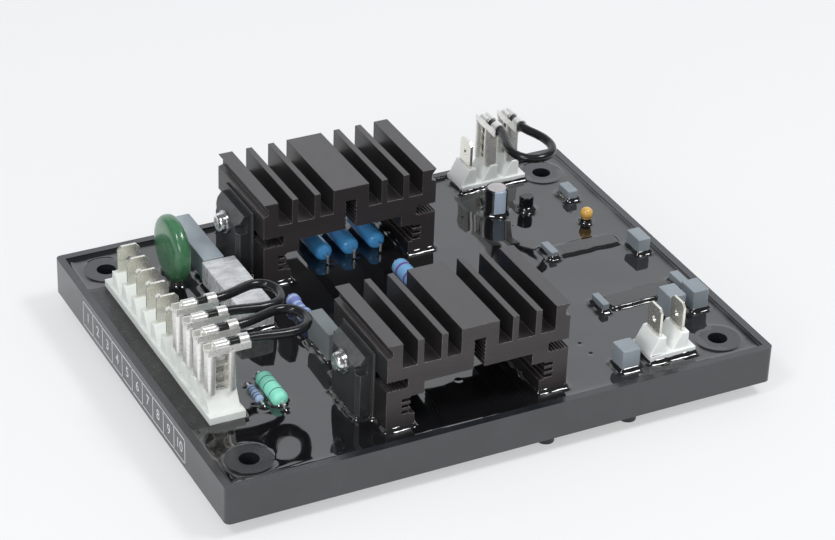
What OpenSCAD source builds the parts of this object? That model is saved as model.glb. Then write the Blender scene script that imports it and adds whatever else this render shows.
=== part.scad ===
// Potted automatic voltage regulator: a moulded tray filled with resin, with
// two finned heat sinks, blade terminals and board components standing in it.
// Lengths are in millimetres. X runs along the long side, Z is up, and the
// origin is under the centre of the tray, on the plane that its feet stand on.

/* [Tray] */
// Length of the tray along X
tray_l = 160; // [144:1:200]
// Width of the tray along Y
tray_w = 121; // [109:1:160]
// Height of the tray from the underside of its floor to the rim
tray_h = 10.8; // [10:0.1:14]
// Thickness of the side walls
wall = 2.2; // [1.2:0.1:2.4]
// Thickness of the floor
floor_t = 1.8; // [1:0.1:3]
// Outer radius of the four vertical corners
corner_r = 1.6; // [0.6:0.1:4]

/* [Mounting] */
// Diameter of the four fixing holes
hole_d = 5.4; // [3:0.1:6]
// Distance of each hole centre from both outer faces
hole_inset = 11; // [9.5:0.1:12]
// Diameter of the boss around each hole
boss_d = 12.6; // [10:0.1:12.8]
// Height of a boss above the resin
boss_proud = 0.3; // [0:0.1:1]
// Length of the spacer foot under each boss
foot_h = 4.4; // [4.2:0.1:10]
// Diameter of the spacer foot
foot_d = 8.6; // [8:0.1:12]

/* [Board and resin] */
// Distance from the rim down to the resin
resin_drop = 1; // [0.4:0.1:2]
// Thickness of the circuit board
board_t = 1.6; // [1:0.1:2]
// Height of the pads that carry the board
board_gap = 3.6; // [3:0.1:5]
// Gap between the board and the tray walls and bosses
board_clear = 0.8; // [0.3:0.1:2]
// Diameter of the pads under the board
pad_d = 5; // [3:0.1:8]

/* [Heat sinks] */
// Width of the extrusion along X
sink_w = 52.6; // [50:0.1:53]
// Length that each sink is cut to, along Y
sink_len = 31.7; // [26:0.1:33]
// Height of the extrusion
sink_h = 29.1; // [26:0.1:40]
// Width of the solid centre block
sink_block_w = 10.8; // [8:0.1:12]
// Thickness of the thin fins
fin_t = 1.8; // [1:0.1:2.4]
// Thickness of the two outer fins at the top
outer_fin_t = 4.3; // [3:0.1:5]
// Height of the web's upper face, from which the fins rise
web_top = 21.8; // [20:0.1:24]
// Height of the web's lower face
web_bottom = 16.1; // [15.5:0.1:17]
// Height of the slots that take the clamp screws
slot_gap = 2.4; // [2:0.1:2.8]
// Depth of those slots
slot_deep = 6; // [4.5:0.1:7]
// X of the middle of both sinks
sink_x = -6.6; // [-8:0.1:-6]
// Y of the middle of the front sink
front_sink_y = -37.6; // [-38.5:0.1:-36]
// Y of the middle of the rear sink
rear_sink_y = 39; // [38:0.1:40]

/* [Power devices] */
// Width of the package along Y
device_w = 15.8; // [12:0.1:17]
// Height of the top of the package above the board
device_h = 22; // [20:0.1:24]
// Thickness of the package
device_t = 4; // [3.5:0.1:5]
// Height of the underside of the package above the board
device_lift = 1.5; // [1:0.1:2.5]
// Thickness of the insulating plate
insulator_t = 0.6; // [0.3:0.1:1]
// How far the insulating plate shows past the package
insulator_lap = 1.4; // [0.5:0.1:2]
// Diameter of the clamp screw
screw_d = 3; // [2.9:0.1:3.5]
// Diameter of the clamp screw's head
screw_head_d = 5.6; // [5:0.1:6.4]
// Diameter of the washer
washer_d = 6.6; // [6.5:0.1:8]
// Thickness of the washer
washer_t = 0.7; // [0.4:0.1:1]

/* [Blade terminals] */
// Distance between neighbouring terminals
way_pitch = 7; // [6.8:0.1:7]
// Width of a blade tab
tab_w = 6.3; // [4.8:0.1:6.4]
// Thickness of a blade tab
tab_t = 0.8; // [0.5:0.1:1]
// Height of a tab above its riser
tab_h = 8.1; // [7:0.1:9]
// Width of a terminal block
block_w = 10; // [8.6:0.1:10]
// Height of a block's flange above the board
flange_h = 5.2; // [4:0.1:7]
// Height of the risers above the flange
riser_h = 4.8; // [3:0.1:6]
// Width of the risers
riser_w = 8.6; // [7:0.1:8.6]
// Length of the plain ends of the ten-way strip
strip_end = 2; // [0.5:0.1:2.5]
// X of the ten-way strip
strip_x = -67.4; // [-68:0.1:-67]
// Y of the middle of the ten-way strip
strip_y = 4.6; // [4:0.1:5]

/* [Receptacles and jumpers] */
// Thickness of the receptacle's strip metal
strip_t = 0.4; // [0.3:0.05:0.5]
// Height of the sleeve that grips the tab
sleeve_h = 9; // [8.8:0.1:10]
// Height of the window between sleeve and barrel
window_h = 2.6; // [2:0.1:3]
// Length of the barrel past the middle of the tab
barrel_reach = 7.9; // [7:0.1:8]
// Diameter of the jumper wires
wire_d = 2.6; // [2:0.1:2.8]
// Clearance of the wire in its barrel
wire_clear = 0.1; // [0.05:0.05:0.2]

/* [Tall components] */
// Diameter of the disc varistor
varistor_d = 19.4; // [14:0.1:20]
// Thickness of the disc varistor
varistor_t = 5; // [3:0.1:5]
// Length of the mains capacitor along Y
mains_cap_l = 25.4; // [20:0.1:25.8]
// Thickness of the mains capacitor
mains_cap_t = 6.2; // [5:0.1:6.6]
// Height of the mains capacitor above the board
mains_cap_h = 10.5; // [8:0.1:20]
// Length of the fuse cover along Y
cover_l = 27.3; // [26:0.1:27.4]
// Width of the fuse cover
cover_w = 9.7; // [9:0.1:10]
// Height of the fuse cover above the board
cover_h = 10.4; // [9.6:0.1:12]
// Wall of the fuse cover
cover_wall = 0.9; // [0.6:0.1:1.2]
// Diameter of the fuse glass
fuse_d = 5; // [4.5:0.1:5.1]
// Length of the fuse
fuse_l = 20; // [18:0.1:21]

/* [Resistors and small components] */
// Diameter of the power resistors
power_res_d = 5.2; // [4:0.1:5.4]
// Length of the power resistors
power_res_l = 16.4; // [12:0.1:18]
// Distance between the power resistors
power_res_pitch = 8.2; // [7:0.1:8.6]
// Diameter of component leads
lead_d = 0.8; // [0.6:0.05:1]
// Diameter of the electrolytic capacitor
electrolytic_d = 6.3; // [5:0.1:6.5]
// Height of the electrolytic capacitor above the board
electrolytic_h = 11.2; // [9:0.1:14]
// Length of the dual-in-line packages
ic_l = 19; // [10:0.1:19.4]
// Width of the dual-in-line packages
ic_w = 5.2; // [4.5:0.1:6]
// Height of the dual-in-line packages above the board
ic_h = 3.2; // [2.8:0.1:3.4]

/* [Adjusters] */
// Diameter of the slotted adjusters under the floor
adjuster_d = 4.8; // [4:0.1:5]
// How far the adjusters stand out below the floor
adjuster_out = 4; // [2:0.1:4]
// Running clearance round the adjusters
adjuster_clear = 0.35; // [0.3:0.05:0.6]
// Width of the screwdriver slot
adjuster_slot = 0.9; // [0.6:0.1:1.2]
// Diameter of the status lamp
led_d = 3; // [2:0.1:3.4]

/* [Hidden] */
$fn = 48;
cut = 1;
// The layout is drawn for this tray, and keeps its proportions in others
drawn_for = [160, 121];
fit_x = tray_l / drawn_for[0];
fit_y = tray_w / drawn_for[1];
floor_z = foot_h;
inner_z = floor_z + floor_t;
rim_z = floor_z + tray_h;
resin_z = rim_z - resin_drop;
board_z = inner_z + board_gap;
deck = board_z + board_t;
root_z = deck - board_t / 2;
inner_l = tray_l - 2 * wall;
inner_w = tray_w - 2 * wall;
inner_r = max(corner_r - wall, 0.4);
hole_x = tray_l / 2 - hole_inset;
hole_y = tray_w / 2 - hole_inset;
boss_z = resin_z + boss_proud;
pad_x = 30 * fit_x;
pad_y = 10 * fit_y;
pad_far_y = 45 * fit_y;
pad_spots = [
    [-pad_x, pad_y], [-pad_x, -pad_y], [pad_x, pad_y], [pad_x, -pad_y],
    [0, pad_far_y], [0, -pad_far_y]
];

// Half section of the extrusion, from its centre line
sink_half = sink_w * fit_x / 2;
sink_mid_x = sink_x * fit_x;
front_y = front_sink_y * fit_y;
rear_y = rear_sink_y * fit_y;
fin_near = 9.3;
fin_far = 16.05;
outer_fin_in = sink_half - outer_fin_t;
lip_drop = 1.8;
lip_neck = 1.4;
neck_h = 1.6;
shoulder_drop = 0.5;
slot_mid = 16.85;
arch_half = 15.6;
arch_step = 12.6;
leg_in = 19.4;
foot_in = 18.1;
foot_top = 7.2;
comb_deep = 2.5;
comb_slit = 0.9;
comb_count = 3;
centre_slot_w = 3.1;
centre_slot_top = 24.9;
comb_pitch = (arch_step - foot_top) / comb_count;
tooth_deep = 0.35;
slot_teeth = 6;
slot_tooth_pitch = slot_deep / (slot_teeth + 0.5);
centre_teeth = 7;
centre_tooth_pitch = (centre_slot_top - web_bottom) / (centre_teeth + 0.5);
sink_half_section = concat(
    [[sink_block_w / 2, sink_h], [sink_block_w / 2, web_top]],
    thin_fin(fin_near),
    thin_fin(fin_far),
    [[outer_fin_in, web_top], [outer_fin_in, sink_h], [sink_half, sink_h]],
    [[sink_half - lip_neck, sink_h - lip_drop], [sink_half - lip_neck, sink_h - lip_drop - neck_h]],
    [[sink_half, sink_h - lip_drop - neck_h - shoulder_drop]],
    [for (i = [0 : slot_teeth - 1]) each slot_tooth(i, 1)],
    [[sink_half - slot_deep, slot_mid + slot_gap / 2], [sink_half - slot_deep, slot_mid - slot_gap / 2]],
    [for (i = [slot_teeth - 1 : -1 : 0]) each slot_tooth(i, -1)],
    [[sink_half, 0], [foot_in, 0], [foot_in, foot_top], [leg_in, foot_top]],
    [for (i = [0 : comb_count - 1]) each comb_notch(foot_top + (i + 0.5) * comb_pitch)],
    [[leg_in, arch_step], [arch_half, arch_step], [arch_half, web_bottom]],
    [[centre_slot_w / 2, web_bottom]],
    [for (i = [0 : centre_teeth - 1]) each centre_tooth(i)],
    [[centre_slot_w / 2, centre_slot_top]]
);
sink_left = sink_mid_x - sink_half;

// The stack that a clamp screw holds against a sink, outwards from it
insulator_x = sink_left - insulator_t;
device_x = insulator_x - device_t;
washer_x = device_x - washer_t;
screw_z = deck + slot_mid;
bore_clear = 0.2;
insulator_w = device_w + 2 * insulator_lap;
insulator_h = device_h + insulator_lap;
device_chamfer = 2.2;
device_edge = 1;
notch_d = 3;
notch_rise = 1.2;
notch_z = deck + slot_mid + notch_rise;
device_lead_w = 1.2;
device_lead_t = 0.6;
device_lead_pitch = 5.4;
screw_head_h = 2.1;
screw_recess = 0.9;
screw_recess_l = 3.6;
screw_tip = 0.8;

// Blade terminals
tab_chamfer = 1.1;
tab_hole_d = 1.7;
tab_hole_drop = 4.3;
ledge_out = 0.9;
ledge_in = 1.4;
tab_top = deck + flange_h + riser_h + tab_h;
riser_z = deck + flange_h + riser_h;
strip_mid_x = strip_x * fit_x;
strip_mid_y = strip_y * fit_y;
strip_pitch = way_pitch * fit_y;
block_pitch = way_pitch * fit_x;
rear_block_x = 52 * fit_x;
rear_block_edge = 7.9;
rear_block_y = tray_w / 2 - rear_block_edge;
side_block_x = 52.7 * fit_x;
side_block_y = -48.3 * fit_y;
strip_ways = 10;
rear_ways = 3;
side_ways = 2;

// Receptacles, in a frame on the tab's foot with the barrel along -Y
curl_d = 2.2;
sleeve_half = tab_w / 2 + 0.75;
rib_h = 0.6;
rib_count = 3;
window_w = 4.4;
barrel_in = wire_d + 2 * wire_clear;
barrel_w = barrel_in + 2 * strip_t;
barrel_z = sleeve_h + window_h;
barrel_x = -0.5;
channel_h = 2;
curl_h = barrel_z + strip_t / 2;
lobe_d = 0.54 * barrel_w;
lobe_x = 0.21 * barrel_w;
core_out = 0.6;
wire_up = strip_t + wire_clear + wire_d / 2;
wire_z = barrel_z + wire_up;
wire_end = -2.6;
core_d = 1.6;
core_grip = [1.6, -1.9];
cover_grip = [-5, -7.6];
jumper_z = riser_z + wire_z;

// Jumper routes: how far each point is from the tabs, where it is along the
// row, counted from the first tab or from the middle, and how far it hangs
wire_start = -wire_end;
front_route = [
    [wire_start, 0, 0], [8.9, 0, 0], [13.4, 1.2, -0.2], [17.4, 2.7, -0.5], [20.9, 3.6, -0.8],
    [23.8, 3, -1], [25.7, 0.9, -1.1], [26.3, -2, -1.2], [25.3, -4.8, -1.1], [22.8, -6.8, -1],
    [19.4, -7.6, -0.8], [15.4, -7.5, -0.5], [11.9, -7.2, -0.2], [8.9, -7, 0], [wire_start, -7, 0]
];
rear_route = [
    [wire_start, -3.5, 0], [8.8, -3.5, 0], [12.6, -4.5, -0.3], [16, -5.4, -0.6], [19.4, -5.5, -0.9],
    [22.4, -4.2, -1.1], [24.3, -1.5, -1.2], [24.7, 1.8, -1.2], [23.3, 4.8, -1.1], [20.5, 6.6, -0.9],
    [17, 6.7, -0.6], [13.6, 5.6, -0.3], [10.6, 4.2, -0.1], [8.2, 3.5, 0], [wire_start, 3.5, 0]
];
wire_sides = 8;

// Tall components
varistor_x = -53.7 * fit_x;
varistor_y = 38.1 * fit_y;
varistor_lead_pitch = 7.5;
varistor_lead_up = 4;
mains_cap_x = -44 * fit_x;
mains_cap_y = 44.6 * fit_y;
cover_x = -43 * fit_x;
cover_y = 17.8 * fit_y;
cover_len = cover_l * fit_y;
fuse_lift = 5.2;
fuse_z = deck + fuse_lift;
fuse_cap_d = 5.4;
fuse_cap_l = 5;
clip_t = 0.35;
clip_w = 3.6;
clip_stem = 2.6;
clip_open = 3.6;
snubber = [-30.5, -11.6, 4.2, 13, 11.8];
box_r = 0.4;

// Small box capacitors: centre X, centre Y, size along X, size along Y, height
film_caps = [
    [73.2, 0.1, 4, 6.8, 7.9], [73.6, -22, 2.8, 7.2, 5.9], [71.9, -32.4, 5, 6.6, 9.6],
    [63.4, -34, 5, 6.6, 10.9], [39.3, -50.8, 5.4, 6, 9.5], [69.5, 34.2, 3.3, 6, 6.2],
    [48.5, 7.5, 2.4, 6.3, 5.4], [47.8, -22.7, 2.2, 6.4, 5.7]
];

// Axial resistors
power_res_x = -3.2 * fit_x;
power_res_y = 37.4 * fit_y;
power_res_round = 1.6;
lead_run = 1.7;
pale_res = [5 * fit_x, 8.2 * fit_y, 5, 16.4];
violet_res = [-29.3 * fit_x, 7.2 * fit_y, 4, 10.4];
violet_waist = 3.2;
mint_res = [-51.9 * fit_x, -24.9 * fit_y, 4.6, 13.2];
mint_sink = 0.7;
small_res = [-56.2 * fit_x, -24.1 * fit_y, 2.4, 6.8];
small_sink = 0.6;
small_round = 0.6;

// Small upright components
electrolytic_at = [45.7 * fit_x, 34.6 * fit_y];
can_round = 0.3;
can_rim = 0.5;
can_dish = 0.25;
transistor_at = [54.6 * fit_x, 32.6 * fit_y];
transistor_d = 4.2;
transistor_flat = 1.4;
transistor_h = 7.5;
bead_at = [67.1 * fit_x, 19.2 * fit_y];
bead_d = 3.7;
bead_z = resin_z + bead_d / 2 + 1.2;
bead_lead_pitch = 2.5;
bead_skirt = 2.4;
ic_rear_at = [60 * fit_x, 7.6 * fit_y];
ic_front_at = [60.6 * fit_x, -22.1 * fit_y];
ic_len = ic_l * fit_x;
ic_pin_pitch = 2.54 * fit_x;
ic_pins = 7;
ic_pin_w = 0.5;
ic_pin_t = 0.3;
ic_stand = 0.5;
mound_lap = 1.6;
mound_slope = 1.4;
mound_h = 0.9;

// Adjusters and lamp
adjuster_edge = 5.5;
adjuster_y = adjuster_edge - tray_w / 2;
adjuster_spots = [[13.6 * fit_x, adjuster_y], [38.6 * fit_x, adjuster_y]];
trimmer_body_w = 5.8;
spindle_neck_d = 2.6;
spindle_neck_h = 2;
spindle_gap = 0.2;
adjuster_slot_deep = 1;
led_edge = 5.1;
led_at = [31.4 * fit_x, led_edge - tray_w / 2];
led_out = 1.6;
led_rim_d = 4;
led_rim_h = 1;
led_clear = 0.1;

// Section points

function thin_fin(x) = [[x, web_top], [x, sink_h], [x + fin_t, sink_h], [x + fin_t, web_top]];

function comb_notch(z) = [
    [leg_in, z - comb_slit / 2], [leg_in + comb_deep, z - comb_slit / 2],
    [leg_in + comb_deep, z + comb_slit / 2], [leg_in, z + comb_slit / 2]
];

// Grooves in the slots, which a screw's thread cuts into
function slot_tooth(i, side) =
    let (
        x = sink_half - i * slot_tooth_pitch,
        tip = slot_mid + side * slot_gap / 2,
        groove = [x - slot_tooth_pitch / 2, tip + side * tooth_deep]
    )
    side > 0 ? [[x, tip], groove] : [groove, [x, tip]];

function centre_tooth(i) =
    let (z = web_bottom + (i + 0.5) * centre_tooth_pitch)
    [[centre_slot_w / 2 - tooth_deep / 2, z], [centre_slot_w / 2 + tooth_deep / 2, z + centre_tooth_pitch / 2]];

function mirrored(points) = [for (i = [len(points) - 1 : -1 : 0]) [-points[i][0], points[i][1]]];

// X of one way of a terminal block, from the block's middle
function way_x(ways, i, pitch) = (i - (ways - 1) / 2) * pitch;

// Sweeping a round wire along its route

function unit(v) = v / norm(v);

function along(route, i) =
    unit(route[min(i + 1, len(route) - 1)] - route[max(i - 1, 0)]);

function ring(point, ahead, d) =
    let (side = unit(cross(ahead, [0, 0, 1])), up = cross(side, ahead))
    [for (k = [0 : wire_sides - 1])
        let (a = 360 * (k + 0.5) / wire_sides)
        point + d / 2 * (cos(a) * side + sin(a) * up)];

module swept_wire(route, d) {
    last = len(route) - 1;
    points = [for (i = [0 : last]) each ring(route[i], along(route, i), d)];
    sides = [for (i = [0 : last - 1], k = [0 : wire_sides - 1])
        let (next = (k + 1) % wire_sides)
        [i * wire_sides + k, i * wire_sides + next, (i + 1) * wire_sides + next, (i + 1) * wire_sides + k]];
    first_end = [for (k = [wire_sides - 1 : -1 : 0]) k];
    last_end = [for (k = [0 : wire_sides - 1]) last * wire_sides + k];
    polyhedron(points, concat([first_end], sides, [last_end]));
}

// Shapes that repeat

module rounded_plate(l, w, h, r) {
    linear_extrude(h) {
        square([l - 2 * r, w], center = true);
        square([l, w - 2 * r], center = true);
        for (x = [-1, 1], y = [-1, 1])
            translate([x * (l / 2 - r), y * (w / 2 - r)]) circle(r);
    }
}

// A rod along Y with rounded ends
module rounded_rod(l, d, r) {
    rotate([90, 0, 0])
        translate([0, 0, -l / 2])
            rotate_extrude() {
                square([d / 2 - r, l]);
                translate([0, r]) square([d / 2, l - 2 * r]);
                for (z = [r, l - r])
                    translate([d / 2 - r, z])
                        intersection() {
                            circle(r);
                            translate([-min(r, d / 2 - r), -r]) square([r + min(r, d / 2 - r), 2 * r]);
                        }
            }
}

module at_corners() {
    for (x = [-1, 1], y = [-1, 1])
        translate([x * hole_x, y * hole_y, 0]) children();
}

module at_pads() {
    for (spot = pad_spots)
        translate([spot[0], spot[1], inner_z]) children();
}

module at_adjusters() {
    for (spot = adjuster_spots)
        translate([spot[0], spot[1], 0]) children();
}

// Tray, resin and board

module tray() {
    color([0.2, 0.2, 0.21])
        difference() {
            union() {
                difference() {
                    translate([0, 0, floor_z]) rounded_plate(tray_l, tray_w, tray_h, corner_r);
                    translate([0, 0, inner_z]) rounded_plate(inner_l, inner_w, tray_h, inner_r);
                }
                at_corners() cylinder(d = foot_d, h = floor_z + floor_t / 2);
                at_corners() boss();
                at_pads() translate([0, 0, -floor_t / 2]) cylinder(d = pad_d, h = board_gap + floor_t / 2);
            }
            at_corners() translate([0, 0, -cut]) cylinder(d = hole_d, h = boss_z + 2 * cut);
            at_adjusters()
                translate([0, 0, floor_z - cut])
                    cylinder(d = adjuster_d + 2 * adjuster_clear, h = floor_t + 2 * cut);
            translate([led_at[0], led_at[1], floor_z - cut])
                cylinder(d = led_d + 2 * led_clear, h = floor_t + 2 * cut);
        }
}

module boss() {
    translate([0, 0, inner_z - floor_t / 2]) cylinder(d = boss_d, h = boss_z - inner_z + floor_t / 2);
}

module potting_resin() {
    color([0.06, 0.06, 0.065])
        difference() {
            union() {
                translate([0, 0, inner_z]) rounded_plate(inner_l, inner_w, resin_z - inner_z, inner_r);
                ic_mound(ic_rear_at);
                ic_mound(ic_front_at);
            }
            at_corners() translate([0, 0, inner_z - cut]) cylinder(d = boss_d, h = tray_h);
            at_pads() translate([0, 0, -cut]) cylinder(d = pad_d, h = board_gap + 2 * cut);
            board_shape();
            at_adjusters()
                translate([-trimmer_body_w / 2, -trimmer_body_w / 2, inner_z - cut])
                    cube([trimmer_body_w, trimmer_body_w, board_gap + 2 * cut]);
            translate([led_at[0], led_at[1], inner_z - cut]) {
                cylinder(d = led_d, h = board_gap + 2 * cut);
                cylinder(d = led_rim_d, h = led_rim_h + cut);
            }
            component_roots();
        }
}

module ic_mound(at) {
    half = ic_w / 2 + mound_lap;
    length = ic_len + 2 * mound_lap;
    translate([at[0] - length / 2, at[1], resin_z])
        rotate([90, 0, 90])
            linear_extrude(length)
                polygon([
                    [-half - mound_slope, -mound_h], [half + mound_slope, -mound_h],
                    [half - mound_slope, mound_h], [mound_slope - half, mound_h]
                ]);
}

module board_shape() {
    difference() {
        translate([0, 0, board_z])
            rounded_plate(inner_l - 2 * board_clear, inner_w - 2 * board_clear, board_t, inner_r);
        at_corners()
            translate([0, 0, board_z - cut])
                cylinder(d = boss_d + 2 * board_clear, h = board_t + 2 * cut);
    }
}

module circuit_board() {
    color([0.1, 0.32, 0.16]) board_shape();
}

// What stands in the resin, as far as it reaches below the surface
module component_roots() {
    for (y = [front_y, rear_y]) sink_roots(y);
    translate([strip_mid_x, strip_mid_y, root_z]) rotate([0, 0, 90]) flange(strip_ways, strip_end, strip_pitch);
    translate([rear_block_x, rear_block_y, root_z]) flange(rear_ways, 0, block_pitch);
    translate([side_block_x, side_block_y, root_z]) flange(side_ways, 0, block_pitch);
    varistor_leads(root_z);
    mains_capacitor_shape(root_z);
    translate([cover_x, cover_y, root_z]) rounded_plate(cover_w, cover_len, cover_h, box_r);
    for (i = [-1 : 1]) lead_roots(power_res(i));
    lead_roots(pale_res);
    lead_roots(violet_res);
    lead_roots(mint_res);
    lead_roots(small_res);
    mint_body();
    small_body();
    box_capacitor_shape(snubber, root_z);
    translate([electrolytic_at[0], electrolytic_at[1], root_z])
        cylinder(d = electrolytic_d, h = electrolytic_h);
    transistor_shape(root_z);
    bead_leads(root_z);
    ic_shape(ic_rear_at, root_z);
    ic_shape(ic_front_at, root_z);
    for (cap = film_caps) box_capacitor_shape(cap, root_z);
}

// The two legs of a sink, with the plate and the package beside the left one
module sink_roots(y) {
    leg = sink_half - foot_in;
    high = resin_z + cut - root_z;
    for (x = [sink_left, sink_mid_x + foot_in])
        translate([x, y - sink_len / 2, root_z]) cube([leg, sink_len, high]);
    translate([insulator_x, y - insulator_w / 2, root_z]) cube([insulator_t + leg / 2, insulator_w, high]);
    translate([device_x, y - device_w / 2, deck + device_lift])
        cube([device_t + insulator_t + leg / 2, device_w, device_h]);
    device_leads(y, root_z);
}

// Heat sinks and what is clamped to them

module sink_shape(y) {
    translate([sink_mid_x, y + sink_len / 2, deck])
        rotate([90, 0, 0])
            linear_extrude(sink_len)
                polygon(concat(sink_half_section, mirrored(sink_half_section)));
}

module heat_sink(y) {
    color([0.17, 0.16, 0.165]) sink_shape(y);
}

module insulator_shape(y) {
    translate([insulator_x, y - insulator_w / 2, deck])
        cube([insulator_t, insulator_w, insulator_h]);
}

// The bore that a clamp screw passes through
module screw_bore(y) {
    translate([washer_x - cut, y, screw_z])
        rotate([0, 90, 0])
            cylinder(d = screw_d + 2 * bore_clear, h = washer_t + device_t + insulator_t + cut);
}

module insulator(y) {
    color([0.3, 0.3, 0.31])
        difference() {
            insulator_shape(y);
            screw_bore(y);
        }
}

module device_leads(y, from = deck) {
    for (i = [-1 : 1])
        translate([device_x + device_t / 2, y + i * device_lead_pitch - device_lead_w / 2, from])
            cube([device_lead_t, device_lead_w, deck + device_lift + cut - from]);
}

// The package is cut from its plan and its side view
module power_device(y) {
    color([0.11, 0.115, 0.12]) {
        difference() {
            intersection() {
                translate([device_x, y, deck + device_lift])
                    linear_extrude(device_h - device_lift)
                        polygon([
                            [device_t, -device_w / 2], [device_t, device_w / 2],
                            [device_edge, device_w / 2], [0, device_w / 2 - device_edge],
                            [0, device_edge - device_w / 2], [device_edge, -device_w / 2]
                        ]);
                translate([device_x, y + device_w / 2, deck])
                    rotate([90, 0, 0])
                        linear_extrude(device_w)
                            polygon([
                                [0, 0], [device_t, 0], [device_t, device_h],
                                [device_chamfer, device_h], [0, device_h - 1.4 * device_chamfer]
                            ]);
            }
            screw_bore(y);
            for (side = [-1, 1])
                translate([device_x - cut, y + side * device_w / 2, notch_z])
                    rotate([0, 90, 0])
                        cylinder(d = notch_d, h = device_t - device_edge + cut);
        }
        device_leads(y);
    }
}

module clamp_screw(y) {
    shank = washer_t + device_t + insulator_t;
    color([0.75, 0.76, 0.77])
        translate([washer_x, y, screw_z])
            rotate([0, 90, 0])
                difference() {
                    union() {
                        cylinder(d = screw_d, h = shank);
                        cylinder(d = slot_gap, h = shank + slot_deep - screw_tip);
                        screw_head();
                    }
                    for (a = [0, 90])
                        rotate([0, 0, a])
                            translate([-screw_recess_l / 2, -screw_recess / 2, -screw_head_h - cut])
                                cube([screw_recess_l, screw_recess, screw_head_h / 2 + cut]);
                }
}

// Domed head, standing in -Z
module screw_head() {
    dome = (screw_head_d * screw_head_d / 4 + screw_head_h * screw_head_h) / (2 * screw_head_h);
    intersection() {
        translate([0, 0, dome - screw_head_h]) sphere(dome);
        translate([0, 0, -screw_head_h - cut]) cylinder(d = 3 * screw_head_d, h = screw_head_h + cut);
    }
}

module clamp_washers() {
    color([0.68, 0.69, 0.7])
        for (y = [front_y, rear_y])
            difference() {
                translate([washer_x, y, screw_z]) rotate([0, 90, 0]) cylinder(d = washer_d, h = washer_t);
                screw_bore(y);
            }
}

// Blade terminals, with the row along X

module flange(ways, end, pitch) {
    length = ways * pitch + 2 * end;
    translate([-length / 2, -block_w / 2, 0]) cube([length, block_w, flange_h]);
}

module riser(pitch) {
    translate([0, riser_w / 2, flange_h])
        rotate([90, 0, 0])
            linear_extrude(riser_w)
                polygon([
                    [-pitch / 2, -cut], [ledge_in, -cut], [ledge_in, riser_h],
                    [-ledge_out, riser_h], [-pitch / 2, 0]
                ]);
}

module terminal_block(ways, end, pitch) {
    color([0.86, 0.88, 0.86])
        difference() {
            union() {
                flange(ways, end, pitch);
                for (i = [0 : ways - 1]) translate([way_x(ways, i, pitch), 0, 0]) riser(pitch);
            }
            for (i = [0 : ways - 1])
                translate([way_x(ways, i, pitch) - tab_t / 2, -tab_w / 2, -cut])
                    cube([tab_t, tab_w, flange_h + riser_h + 2 * cut]);
        }
}

module tab() {
    top = flange_h + riser_h + tab_h;
    rotate([90, 0, 90])
        linear_extrude(tab_t, center = true)
            difference() {
                polygon([
                    [-tab_w / 2, 0], [tab_w / 2, 0], [tab_w / 2, top - tab_chamfer],
                    [tab_w / 2 - tab_chamfer, top], [tab_chamfer - tab_w / 2, top],
                    [-tab_w / 2, top - tab_chamfer]
                ]);
                translate([0, top - tab_hole_drop]) circle(d = tab_hole_d);
            }
}

module tab_row(ways, pitch) {
    color([0.72, 0.72, 0.68])
        for (i = [0 : ways - 1]) translate([way_x(ways, i, pitch), 0, 0]) tab();
}

module on_strip() {
    translate([strip_mid_x, strip_mid_y, deck]) rotate([0, 0, 90]) children();
}

module on_rear_block() {
    translate([rear_block_x, rear_block_y, deck]) children();
}

module on_side_block() {
    translate([side_block_x, side_block_y, deck]) children();
}

// Flag receptacle on the tab of one way
module receptacle(ways, i, pitch) {
    color([0.78, 0.78, 0.75])
        translate([way_x(ways, i, pitch), 0, flange_h + riser_h]) {
            sleeve();
            neck();
            barrel();
        }
}

// Flat back with two curled edges that press on the tab
module sleeve() {
    back = tab_t / 2;
    curl_x = -tab_t / 2 - curl_d / 2;
    curl_y = sleeve_half - curl_d / 2;
    translate([back, -sleeve_half, 0]) cube([strip_t, 2 * sleeve_half, sleeve_h]);
    for (side = [-1, 1]) {
        translate([curl_x, side * (sleeve_half - strip_t / 2) - strip_t / 2, 0])
            cube([back + strip_t - curl_x, strip_t, curl_h]);
        translate([curl_x, side * curl_y, 0])
            difference() {
                cylinder(d = curl_d, h = curl_h);
                translate([0, 0, -cut]) cylinder(d = curl_d - 2 * strip_t, h = curl_h + 2 * cut);
            }
    }
    for (k = [0 : rib_count - 1])
        translate([-back - strip_t, -curl_y, (k + 0.5) * sleeve_h / rib_count - rib_h / 2])
            cube([strip_t, 2 * curl_y, rib_h]);
}

// Two posts on either side of the window, up to the barrel
module neck() {
    post = sleeve_half - window_w / 2;
    for (side = [-1, 1])
        translate([tab_t / 2, side * (sleeve_half - post / 2) - post / 2, sleeve_h - strip_t])
            cube([strip_t, post, window_h + 2 * strip_t]);
    translate([-tab_t / 2, sleeve_half - strip_t, sleeve_h - strip_t])
        cube([tab_t + strip_t, strip_t, window_h + 2 * strip_t]);
}

// Open channel with two grips rolled over, on the core and on the wire
module barrel() {
    along(-barrel_reach, sleeve_half) channel_section();
    along(core_grip[1], core_grip[0]) core_section();
    along(cover_grip[1], cover_grip[0]) cover_section();
    translate([barrel_x, wire_end, wire_z])
        rotate([-90, 0, 0])
            cylinder(d = core_d, h = core_grip[0] + core_out - wire_end);
}

// Draws a section of the barrel out along Y
module along(from, to) {
    translate([barrel_x, to, barrel_z]) rotate([90, 0, 0]) linear_extrude(to - from) children();
}

module channel_section() {
    difference() {
        translate([-barrel_w / 2, 0]) square([barrel_w, channel_h]);
        translate([-barrel_in / 2, strip_t]) square([barrel_in, channel_h]);
    }
}

// Two wings pressed into the strands
module core_section() {
    translate([-barrel_w / 2, 0]) square([barrel_w, channel_h]);
    for (side = [-1, 1]) translate([side * lobe_x, channel_h]) circle(d = lobe_d);
}

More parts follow.
